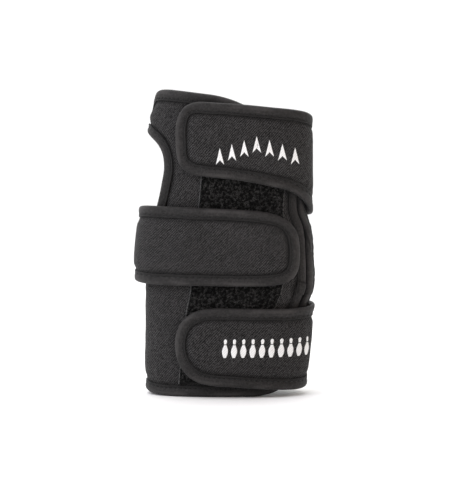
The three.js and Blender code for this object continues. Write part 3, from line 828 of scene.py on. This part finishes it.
def layerMesh(name, layer, box, step, root=None):
    # both faces of a layer as grids cut to its outline, joined along the cut
    columns = np.arange(math.floor((box[1] - box[0]) / step) + 1) * step + box[0]
    if root is not None:
        columns = np.linspace(box[0], box[1], len(columns))
    rows = np.arange(math.ceil((box[3] - box[2]) / step) + 1) * step + box[2]
    s, z = np.meshgrid(columns, rows, indexing="ij")
    distance, _, inward = layer.nearest(s, z)
    cut = form["edgeInset"]
    kept = distance > cut - 0.5 * step
    whole = kept[:-1, :-1] & kept[1:, :-1] & kept[1:, 1:] & kept[:-1, 1:]
    quads = gridQuads(np.arange(s.size).reshape(s.shape))[whole.ravel()]
    used, quads = np.unique(quads, return_inverse=True)
    quads = quads.reshape(-1, 4)
    s, z, distance = [values.ravel()[used] for values in (s, z, distance)]
    inward = inward.reshape(-1, 2)[used]
    sides = np.concatenate([quads[:, [i, (i + 1) % 4]] for i in range(4)])
    count = len(used)
    keys = sides[:, 0] * count + sides[:, 1]
    twins = sides[:, 1] * count + sides[:, 0]
    rim = sides[~np.isin(keys, twins)]
    rimPoints = np.unique(rim)
    moving = np.isin(np.arange(count), rimPoints)
    if root is not None:
        moving &= np.abs(s - root) > step * 0.1
    move = np.where(moving & (np.abs(distance - cut) < 1.6 * step), cut - distance, 0)
    s = s + inward[:, 0] * move
    z = z + inward[:, 1] * move
    high, low = layer.top(s, z), layer.under(s, z)
    rimIndex = np.full(count, -1)
    rimIndex[rimPoints] = np.arange(len(rimPoints)) + 2 * count
    first, second = rim.T
    faces = np.concatenate([
        quads, quads[:, ::-1] + count,
        np.stack([second, first, rimIndex[first], rimIndex[second]], -1),
        np.stack([rimIndex[second], rimIndex[first], first + count, second + count], -1),
    ])
    # the points above, those below and, between them, the rim's
    source = np.concatenate([np.arange(count), np.arange(count), rimPoints])
    s, z, distance = s[source], z[source], distance[source]
    lift = np.concatenate([high, low, ((high + low) / 2)[rimPoints]])
    across = s.copy()
    across[count:2 * count] += padding["farSide"]
    piece = addMesh(name, surface(s, z, lift), faces, np.stack([across, z, lift], -1), clothFinish)
    # share of painted shade in the hollow beside the tape, fading away from it
    fade = [form["tapeWidth"] + reach for reach in padding["paintedShade"]]
    addShare(piece, "paintedShade", 1 - ease(distance, *fade))
    return outward(piece)


def strapLevel(climb):
    # height of a strap's middle over the wall: flat on it, over a bound edge, or over hooks and loops
    thick = form["strapEdge"] / 2 + form["tapeGap"] + form["tape"]
    levels = [
        form["wall"] / 2 + form["gap"] + thick,
        form["wall"] / 2 + form["tapeGap"] + form["tape"] + form["gap"] + thick,
        fieldLift + form["loop"] + form["gap"] + form["hook"] + form["gap"] + form["strap"] / 2,
    ]
    table = np.array(climb)

    def level(s):
        step = smooth(table[:, 0], table[:, 1], np.asarray(s) / halfGirth)
        return np.interp(np.clip(step, 0, 2), [0, 1, 2], levels)

    return level


def tapeSection(pressed, crown):
    # across and lift round a folded tape: a full roll, a sewn groove, a free lip and the fold inside
    groove, lip, nose = stitching["fromEdge"], form["tapeWidth"], form["tapeNose"]
    upper = [[nose - nose * math.cos(a), crown * math.sin(a)] for a in np.linspace(0, math.pi / 2, 8)]
    upper += [[across, crown * share] for across, share in (
        (2.4, 1.02), (3.1, 0.99), (3.7, 0.93), (groove - 0.4, 0.83), (groove, stitching["grooveShare"]),
        (groove + 0.35, 0.79), (lip - 0.6, 0.84), (lip - 0.12, 0.8), (lip, 0.74), (lip - 0.02, 0.6),
        (lip - 0.3, 0.52))]
    lower = [[across, -lift] for across, lift in upper[1:]][::-1]
    slot = pressed + 0.03
    return np.array(lower + upper + [[4.4, -slot], [1.2, -slot], [1.2, slot], [4.4, slot]])


def flat(s):
    return np.zeros_like(np.asarray(s, float))


# The hand tape laps over the forearm tape's ends, and on the palm edge over a second length of itself
lapping = {
    "lift": 0.42,
    "down": 0.329,          # how far up the lapped ends reach, as a share of the height
    "frontLength": 6.6,
    "frontSlant": 0.3,
    "palmLength": 35.5,
    "palmSlant": 4.2,       # millimetres along the edge for each one across the tape
    "reach": 2.5,           # how far from an end its painted shade reaches
}
lappedEdge = Edge(
    [[0.3905, lapping["down"]], [0.3935, 0.345]] + handRows
    + [[-1.589, 0.345], [-1.589, lapping["down"]]], False, 1)
# each lap's start and stop along the edge and its ends' slant; one end of each lies off the tape
handLaps = [
    (-100, lapping["frontLength"], lapping["frontSlant"]),
    (lappedEdge.length[-1] - lapping["palmLength"], 1000, lapping["palmSlant"]),
]


tapeLook = {
    "wobble": 0.05,         # share by which the roll's height wanders
    "wobbleLength": 11,
    "gather": 0.035,        # share by which it gathers where the edge turns
    "gatherPitch": 2.7,
    "stray": 0.13,          # millimetres by which the lip's line wanders
    "strayLength": 16,
}


class Tape:
    # a tape folded over a finished edge
    def __init__(self, edge, level, pressed, crown, seed, laps=()):
        self.edge = edge
        self.laps = laps
        self.level = level
        self.crown = crown
        self.seed = seed
        self.section = tapeSection(pressed / 2, crown)
        turn = np.unwrap(np.arctan2(edge.inward[:, 1], edge.inward[:, 0]))
        if edge.closed:
            bend = np.abs(np.roll(turn, -3) - np.roll(turn, 3))
        else:
            bend = np.abs(np.gradient(turn)) * 6
        bend = np.minimum(bend, 1.2) / 4.8
        padded = np.pad(bend, 4, mode="wrap" if edge.closed else "edge")
        self.bend = np.convolve(padded, np.ones(9) / 9, "valid")

    def lap(self, along, across):
        # extra lift where the tape lies double, between slanting ends
        extra = flat(along)
        for start, stop, slant in self.laps:
            at = along - slant * across
            begun, ended = [ease(at, end - 0.4, end + 0.4) for end in (start, stop)]
            extra = extra + begun * (1 - ended)
        return extra * lapping["lift"]

    def shape(self, along, across, lift):
        # wobble of the roll, pull of the stitches and gathers where the edge turns
        bend = np.interp(along, self.edge.length, self.bend)
        roll = np.exp(-((across - 2.6) / 2.2)**2)
        groove = np.exp(-((across - stitching["fromEdge"]) / 0.6)**2)
        fold = np.cos(along * 2 * math.pi / tapeLook["gatherPitch"] + across * 0.5)
        gather = tapeLook["gather"] * np.clip(bend * 9, 0, 1) * fold * (roll + groove)
        pull = stitching["pull"] * groove * (0.5 + 0.5 * np.cos(along * 2 * math.pi / stitching["pitch"]))
        wobble = unevenness(along, along * 0, tapeLook["wobbleLength"], self.seed)
        grow = tapeLook["wobble"] * roll * wobble + gather
        double = self.lap(along, across)
        lifted = lift * (1 + grow + double / self.crown) - np.sign(lift) * pull
        stray = tapeLook["stray"] * unevenness(
            along, across * 0, tapeLook["strayLength"], self.seed + 1)
        shifted = across + stray * np.clip(across / 2, 0, 1)
        shifted = shifted - double * np.clip(1 - across / form["tapeNose"], 0, 1)
        return shifted, lifted

    def place(self, along, across, lift):
        across, lift = self.shape(along, across, lift)
        s, z = self.edge.at(along, across)
        return surface(s, z, self.level(s) + lift)

    def grooveLift(self):
        return self.crown * stitching["grooveShare"]

    def mesh(self, name):
        along = self.edge.length
        a, u = np.meshgrid(along, self.section[:, 0], indexing="ij")
        lift = np.broadcast_to(self.section[:, 1], a.shape)
        faces = sweepFaces(*a.shape, self.edge.closed)
        pattern = np.stack([a, u, lift], -1)
        piece = addMesh(name, self.place(a, u, lift), faces, pattern, bindingFinish)
        # share of painted shade along the ends of the laps
        if self.laps:
            away = [
                np.abs(a - slant * u - end) / math.hypot(1, slant)
                for start, stop, slant in self.laps for end in (start, stop)]
            addShare(piece, "paintedShade", np.clip(1 - np.min(away, axis=0) / lapping["reach"], 0, 1))
        return outward(piece)


class Threads:
    # stitches gathered into one piece, each a short thread with both ends in the cloth
    def __init__(self, name):
        self.name = name
        self.points = []
        self.pattern = []
        self.steps = np.array([-1, -0.75, 0, 0.75, 1])
        self.rise = np.array([-0.3, 0.02, 0.13, 0.02, -0.3])
        self.thick = np.array([0.45, 0.95, 1.0, 0.95, 0.45])
        self.sides = 6

    def sew(self, place, length, side=1, slant=0.12):
        # place gives points from lengths along the seam, a sideways step and a rise
        count = max(int(length / stitching["pitch"]), 1)
        middles = (np.arange(count) + 0.5) * length / count
        along = middles[:, None] + self.steps * stitching["length"] / 2
        aside = np.broadcast_to(self.steps * slant, along.shape)
        rise = np.broadcast_to(self.rise, along.shape) * side
        centre = place(along, aside, rise)
        above = unit(place(along, aside, rise + side * 0.3) - centre)
        beside = np.cross(unit(np.gradient(centre, axis=1)), above)
        radius = (self.thick * stitching["radius"])[None, :, None, None]
        self.points.append(tubePoints(centre, beside, above, radius, self.sides))
        turn = np.arange(self.sides) * 2 * math.pi / self.sides
        a, turns = np.broadcast_arrays(along[:, :, None], turn)
        self.pattern.append(np.stack([a, turns * 0.2, a * 0], -1))

    def sewLine(self, start, end, length, lay, slant=0.12):
        # a straight row; lay gives points from two places and a rise
        def place(along, aside, rise):
            share = along / length
            first = start[0] + (end[0] - start[0]) * share - aside * (end[1] - start[1]) / length
            second = start[1] + (end[1] - start[1]) * share + aside * (end[0] - start[0]) / length
            return lay(first, second, rise)

        self.sew(place, length, slant=slant)

    def mesh(self):
        points, pattern = np.concatenate(self.points), np.concatenate(self.pattern)
        return outward(addTubes(self.name, points, pattern, threadFinish))


def seamOnTape(tape, side):
    def place(along, aside, rise):
        across = stitching["fromEdge"] + aside
        level = side * (tape.grooveLift() + 0.02 + tape.lap(along, across))
        s, z = tape.edge.at(along, across)
        return surface(s, z, tape.level(s) + level + rise)

    return place


def finishPiece(piece, slot, *nodes):
    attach(piece, "root")
    if nodes:
        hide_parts(*nodes)
    return piece


# Straps first, because they press the wrap
strapLook = {
    "thickness": 3.5,
    "edgeThickness": 1.3,
    "crown": 1.9,
    "grain": 0.14,
    "step": 0.9,
    "rootDrop": 6.0,        # millimetres over which a strap comes down to its sewn root
    "boxReach": (2.5, 12),  # how far from the root its sewn box begins and ends
    "boxInset": 8,
}

strapLayers = {}
for name, strap in straps.items():
    rows = np.array(strap["edge"])
    onRight = rows[0, 0] > 0
    edge = Edge(rows, False, -1 if onRight else 1, 0.7)
    climbing = strapLevel(strap["climb"])
    root = rows[0, 0] * halfGirth
    sewn = form["wall"] / 2 + 0.25 + strapLook["crown"]

    def level(s, climbing=climbing, root=root, sewn=sewn):
        near = 1 - ease(np.abs(np.asarray(s) - root), 2.0, 2.0 + 3 * strapLook["rootDrop"])
        return climbing(s) * (1 - near) + np.minimum(climbing(s), sewn) * near

    pressed, seed = strapLook["edgeThickness"], strap["seed"]
    layer = Layer([edge], level, pressed, strapLook["thickness"], strapLook["grain"], seed)
    low, high = edge.path.min(0), edge.path.max(0)
    box = low[0], high[0], low[1], high[1]
    layer.fill(box)
    strapLayers[name] = layer
    tape = Tape(edge, level, pressed, strapLook["crown"], seed + 40)
    piece = layerMesh(name + "_strap_padding", layer, box, strapLook["step"], root)
    finishPiece(piece, "padded_cloth", name + "_strap")
    finishPiece(tape.mesh(name + "_strap_tape"), "binding_tape", name + "_strap_binding")
    threads = Threads(name + "_strap_stitches")
    for side in (1, -1):
        threads.sew(seamOnTape(tape, side), edge.length[-1], side)
    # a sewn box with a cross in it holds the strap's root to the wrap
    inward = -1 if onRight else 1
    near, far = [root + inward * reach for reach in strapLook["boxReach"]]
    foot, head = rows[[0, -1], 1] * form["height"] + np.array([1, -1]) * strapLook["boxInset"]
    corners = [(near, foot), (near, head), (far, head), (far, foot)]
    lines = list(zip(corners, corners[1:] + corners[:1])) + [corners[::2], corners[1::2]]
    for start, end in lines:
        threads.sewLine(start, end, math.dist(start, end),
                        lambda s, z, rise, layer=layer: surface(s, z, layer.top(s, z) + rise))
    finishPiece(threads.mesh(), "binding_tape")
print("straps made")

# The wrap, pressed down under the straps and standing up a little beside them
wrapLook = {
    "thickness": 4.1,
    "edgeThickness": 1.8,
    "crown": 2.2,
    "holeThickness": 2.6,
    "holeCrown": 2.75,
    "grain": 0.2,
    "step": 1.25,
    "press": 0.35,
    "stand": 0.3,
}


def pressing(distance):
    # distance is positive below a strap
    below = ease(distance, -0.5, 5)
    beside = np.exp(-((distance + 4.5) / 2.6)**2)
    return wrapLook["stand"] * beside - wrapLook["press"] * below


wrapEdges = [handEdge, forearmEdge, thumbEdge]
wrapLayer = Layer(
    wrapEdges, flat, wrapLook["edgeThickness"], wrapLook["thickness"], wrapLook["grain"], 21,
    [(layer, pressing) for layer in strapLayers.values()])
wrapBox = (-1.6 * halfGirth, 0.4 * halfGirth, 0, form["height"])
wrapLayer.fill(wrapBox)
piece = layerMesh("wrap_padding", wrapLayer, wrapBox, wrapLook["step"])
finishPiece(piece, "padded_cloth", "wrap_body")
print("wrap made")

wrapThreads = Threads("wrap_stitches")
for name, edge, pressed, crown, seed in (
    ("hand", lappedEdge, wrapLook["edgeThickness"], wrapLook["crown"], 61),
    ("forearm", forearmEdge, wrapLook["edgeThickness"], wrapLook["crown"], 71),
    ("thumb", thumbEdge, wrapLook["holeThickness"], wrapLook["holeCrown"], 81),
):
    tape = Tape(edge, flat, pressed, crown, seed, handLaps if name == "hand" else ())
    finishPiece(tape.mesh(name + "_edge_tape"), "binding_tape", name + "_binding")
    length = edge.length[-1] + (edge.length[1] if edge.closed else 0)
    for side in (1, -1):
        wrapThreads.sew(seamOnTape(tape, side), length, side)
finishPiece(wrapThreads.mesh(), "binding_tape")
print("edges bound and sewn")

# Loop field: a woven ground with flat selvedges, then its fibres
fieldLook = {
    "step": 0.9,
    "selvedge": 0.9,
    "strands": 7600,
    "tries": 60000,         # places drawn, from which the strands take those that no strap covers
    "underStraps": 0.5,     # how far the strands go on under a strap's edge
    "strandRadius": 0.11,
    "strandHeight": 0.85,
    "fineGrain": 0.18,
    "broadGrain": 0.12,
    "seam": 1.7,            # how far the seam runs from the field's edge
    "seamDepth": 0.35,
    "seed": 5,
}


def fieldLength():
    s, z = fieldPoint(np.zeros(2), np.array([0, 1]))
    return math.hypot(s[1] - s[0], z[1] - z[0])


def fieldTop(across, share):
    # lift of the ground: low at the selvedges, uneven in the pile
    inside = np.minimum(field["width"] / 2 - np.abs(across), np.minimum(share, 1 - share) * fieldLength())
    s, z = fieldPoint(across, share)
    raised = ease(inside, fieldLook["selvedge"] - 0.3, fieldLook["selvedge"] + 0.3)
    seam = fieldLook["seamDepth"] * np.exp(-((inside - fieldLook["seam"]) / 0.45)**2)
    rough = (fieldLook["fineGrain"] * unevenness(s, z, 2.4, 31)
             + fieldLook["broadGrain"] * unevenness(s, z, 5.5, 32))
    return fieldLift + 0.55 + raised * (form["loop"] - 0.7 + rough) - seam


def fieldMesh():
    columns = int(field["width"] / fieldLook["step"])
    rows = int(fieldLength() / fieldLook["step"])
    across, share = np.meshgrid(
        np.linspace(-0.5, 0.5, columns + 1) * field["width"], np.linspace(0, 1, rows + 1), indexing="ij")
    s, z = fieldPoint(across, share)
    lift = np.stack([fieldTop(across, share), np.full(s.shape, fieldLift)])
    s, z = np.stack([s, s]), np.stack([z, z])
    return outward(addMesh(
        "loop_ground", surface(s, z, lift), slabFaces(share.shape), np.stack([s, z, lift], -1),
        pileFinish))


def strandMesh():
    # bowed fibres that stand where no strap presses the field
    random = np.random.default_rng(fieldLook["seed"])
    edge = fieldLook["selvedge"] - 0.5
    across = random.uniform(-0.5, 0.5, fieldLook["tries"]) * (field["width"] - 2 * edge)
    share = random.uniform(0.012, 0.988, fieldLook["tries"])
    s, z = fieldPoint(across, share)
    uncovered = np.ones(len(s), bool)
    for layer in strapLayers.values():
        uncovered &= layer.nearest(s, z)[0] < fieldLook["underStraps"]
    chosen = np.flatnonzero(uncovered)[:fieldLook["strands"]]
    across, share = across[chosen], share[chosen]
    count = len(chosen)
    heading = random.uniform(0, 2 * math.pi, count)
    span = random.uniform(0.5, 1.1, count)
    rise = random.uniform(0.45, 1.0, count) * fieldLook["strandHeight"]
    steps = np.array([-1, -0.55, 0.1, 0.75, 1.0])
    arch = np.array([-0.25, 0.65, 1.0, 0.7, 0.15])
    sway = random.uniform(-0.5, 0.5, (count, 1)) * np.array([0, 0.6, 1, 0.3, -0.4])
    cosine, sine = np.cos(heading)[:, None], np.sin(heading)[:, None]
    reach = steps * span[:, None] / 2
    u = across[:, None] + cosine * reach - sine * sway
    v = share[:, None] + (sine * reach + cosine * sway) / fieldLength()
    s, z = fieldPoint(u, v)
    lift = fieldTop(across, share)[:, None] - 0.1 + arch * rise[:, None]
    centre = surface(s, z, lift)
    above = unit(surface(s, z, lift + 0.3) - centre)
    forward = unit(np.gradient(centre, axis=1))
    beside = unit(np.cross(forward, above))
    sides = 3
    points = tubePoints(centre, beside, np.cross(beside, forward), fieldLook["strandRadius"], sides)
    pattern = np.repeat(np.stack([s, z, lift], -1)[:, :, None], sides, 2)
    return addTubes("loop_fibres", points, pattern, pileFinish)


def selvedgeMesh():
    # the woven border down each side of the field, a flat band standing a little over the ground
    width = fieldLook["selvedge"]
    section = np.array([
        [0, 0.4], [0, 0.66], [0.12, 0.78], [width - 0.12, 0.8], [width, 0.7], [width, 0.4]])
    rows = int(fieldLength() / fieldLook["step"])
    share = np.linspace(0.002, 0.998, rows + 1)
    points, pattern, faces = [], [], []
    for side in (-1, 1):
        across, at = np.meshgrid(side * (field["width"] / 2 - section[:, 0]), share)
        s, z = fieldPoint(across, at)
        lift = np.broadcast_to(fieldLift + section[:, 1], s.shape)
        faces += sweepFaces(*s.shape, start=len(points) * s.size)
        points.append(surface(s, z, lift))
        pattern.append(np.stack([z, across * 3, lift], -1))
    return outward(addMesh("loop_selvedges", np.array(points), faces, pattern, selvedgeFinish))


finishPiece(fieldMesh(), "loop_pile", "loop_field")
finishPiece(strandMesh(), "loop_pile")
finishPiece(selvedgeMesh(), "loop_pile")

fieldThreads = Threads("loop_field_stitches")
side = field["width"] / 2 - fieldLook["seam"]
foot = fieldLook["seam"] / fieldLength()
corners = [(-side, foot), (-side, 1 - foot), (side, 1 - foot), (side, foot)]


def layOnField(across, share, rise):
    s, z = fieldPoint(across, share)
    return surface(s, z, fieldTop(across, share) + rise)


for start, end in ((0, 1), (3, 2), (0, 3), (1, 2)):
    (u0, v0), (u1, v1) = corners[start], corners[end]
    length = math.hypot(u1 - u0, (v1 - v0) * fieldLength())
    fieldThreads.sewLine(corners[start], corners[end], length, layOnField, 0)
finishPiece(fieldThreads.mesh(), "loop_pile")
for name in straps:
    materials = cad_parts[name + "_hook_patch"].data.materials
    materials.clear()
    materials.append(hookFinish)
print("loop field made")

# White marks printed on two straps: a row of lane arrows and a row of pins
marks = {
    "arrows": 7,
    "arrowWidth": 5.0,
    "arrowHeight": 9.6,
    "arrowPitch": 7.4,
    "arrowRise": 2.3,       # each arrow stands this much lower than its neighbour nearer the middle
    "arrowAround": 0.15,
    "arrowUp": 0.824,
    "arrowNotch": 0.26,
    "pins": 10,
    "pinHeight": 11.0,
    "pinPitch": 5.4,
    "pinAround": 0.212,
    "pinUp": 0.133,
    "pinNeck": (0.66, 0.74),
    "ink": 0.07,
    "columns": 7,           # points across a strip of ink
}

# height and half width of a pin, as shares of its height
pinOutline = np.array([
    [0, 0.06], [0.04, 0.085], [0.2, 0.14], [0.34, 0.16], [0.46, 0.145], [0.6, 0.09], [0.72, 0.06],
    [0.8, 0.07], [0.88, 0.083], [0.95, 0.068], [1, 0.0],
])


def inkStrips(name, strips, layer):
    # each strip is three arrays: heights, left and right edges; it lies on the layer as a thin skin
    points, pattern, faces = [], [], []
    start = 0
    for z, left, right in strips:
        s = left[:, None] + (right - left)[:, None] * np.linspace(0, 1, marks["columns"])
        z = np.broadcast_to(z[:, None], s.shape)
        faces.append(slabFaces(s.shape, start))
        start += 2 * s.size
        top = layer.top(s, z)
        for lift in (top + marks["ink"], top - 0.12):
            points.append(surface(s, z, lift))
            pattern.append(np.stack([s, z, lift], -1))
    points, pattern, faces = [np.concatenate(part) for part in (points, pattern, faces)]
    return finishPiece(outward(addMesh(name, points, faces, pattern, inkFinish)), "padded_cloth")


arrowStrips = []
for k in range(marks["arrows"]):
    offset = k - (marks["arrows"] - 1) / 2
    middle = marks["arrowAround"] * halfGirth + offset * marks["arrowPitch"]
    foot = marks["arrowUp"] * form["height"] - abs(offset) * marks["arrowRise"] - marks["arrowHeight"] / 2
    # two halves of a notched arrow that points up
    rise = np.linspace(0, 1, 12)
    outer = marks["arrowWidth"] / 2 * (1 - rise)
    inner = marks["arrowWidth"] / 2 * np.clip(1 - rise / marks["arrowNotch"], 0, 1)
    z = foot + rise * marks["arrowHeight"]
    inner = np.minimum(inner, outer - 0.02)
    arrowStrips.append((z, middle + inner, middle + outer + 0.01))
    arrowStrips.append((z, middle - outer - 0.01, middle - inner))
inkStrips("arrow_print", arrowStrips, strapLayers["top"])

pinStrips = []
for k in range(marks["pins"]):
    offset = k - (marks["pins"] - 1) / 2
    middle = marks["pinAround"] * halfGirth + offset * marks["pinPitch"]
    rise = np.linspace(0, 1, 26)
    half = smooth(pinOutline[:, 0], pinOutline[:, 1], rise) * marks["pinHeight"] + 0.02
    z = marks["pinUp"] * form["height"] + rise * marks["pinHeight"]
    # the red neck bands of a real pin are left as a gap in the white
    parted = np.flatnonzero((rise > marks["pinNeck"][0]) & (rise < marks["pinNeck"][1]))
    for part in (slice(parted[0] + 1), slice(parted[-1], None)):
        pinStrips.append((z[part], middle - half[part], middle + half[part]))
inkStrips("pin_print", pinStrips, strapLayers["bottom"])
print("marks printed")

studio = {
    "elevation": 4.0,
    "distance": 1.6,
    "millimetresPerPixel": 0.592,
    "aim": (0.00074, 0.0, 0.0851),
    "sensor": 36.0,
    "imageHeight": 500,
    "skyBright": 1.75,      # light of the room past the glove and to its left
    "skyDim": 0.36,         # and to its right and from where the camera stands
    # place, size, power and colour of each softbox
    "softboxes": {
        "key": ((-0.55, -0.75, 0.85), (1.0, 1.0), 6.8, (1.0, 0.985, 1.07)),
        "fill": ((0.8, -0.6, 0.45), (0.6, 0.8), 1.6, (1.3, 1.0, 0.72)),
        "top": ((0.05, 0.25, 0.95), (0.9, 0.6), 3.0, (1.0, 1.0, 1.0)),
    },
    "lit": (0, 0, 0.09),    # where the softboxes look
}


def softbox(name, place, size, power, colour):
    light = bpy.data.lights.new(name, "AREA")
    light.color = colour
    light.shape = "RECTANGLE"
    light.size, light.size_y = size
    light.energy = power
    lamp = bpy.data.objects.new(name, light)
    lamp.location = place
    way = Vector(studio["lit"]) - lamp.location
    lamp.rotation_euler = way.to_track_quat("-Z", "Y").to_euler()
    bpy.context.scene.collection.objects.link(lamp)


def makeStudio():
    scene = bpy.context.scene
    scene.view_settings.view_transform = "Standard"
    world = bpy.data.worlds.new("pale_room")
    world.use_nodes = True
    world.node_tree.nodes["Background"].inputs["Color"].default_value = (1, 1, 1, 1)
    room = Shade(world.node_tree)
    way = room.make("ShaderNodeTexCoord", None, None, "Generated")
    sideways, ahead, _ = way.parts()
    share = (ahead - sideways * 0.85).between(-0.4, 0.5)
    light = share * (studio["skyBright"] - studio["skyDim"]) + studio["skyDim"]
    world.node_tree.links.new(light.socket, world.node_tree.nodes["Background"].inputs["Strength"])
    scene.world = world

    mesh = bpy.data.meshes.new("floor")
    mesh.from_pydata([(-60, -20, 0), (60, -20, 0), (60, 120, 0), (-60, 120, 0)], [], [(0, 1, 2, 3)])
    floor = bpy.data.objects.new("floor", mesh)
    finish, place = newFinish("pale_floor", "Object")
    mesh.materials.append(connect(finish, {
        "Base Color": place.noise(3.0).blend(grey(0.955), grey(0.975)),
        "Roughness": 0.6,
        "Specular IOR Level": 0.2,
    }))
    scene.collection.objects.link(floor)

    for name, box in studio["softboxes"].items():
        softbox(name + "_softbox", *box)

    camera = bpy.data.cameras.new("camera")
    seen = studio["imageHeight"] * studio["millimetresPerPixel"] * millimetre
    camera.sensor_width = studio["sensor"]
    camera.lens = studio["sensor"] * studio["distance"] / seen
    camera.clip_start = 0.05
    eye = bpy.data.objects.new("camera", camera)
    tilt = math.radians(studio["elevation"])
    back = Vector((0, -math.cos(tilt), math.sin(tilt)))
    eye.location = Vector(studio["aim"]) + back * studio["distance"]
    eye.rotation_euler = (-back).to_track_quat("-Z", "Y").to_euler()
    scene.collection.objects.link(eye)
    scene.camera = eye


makeStudio()
print("studio made")
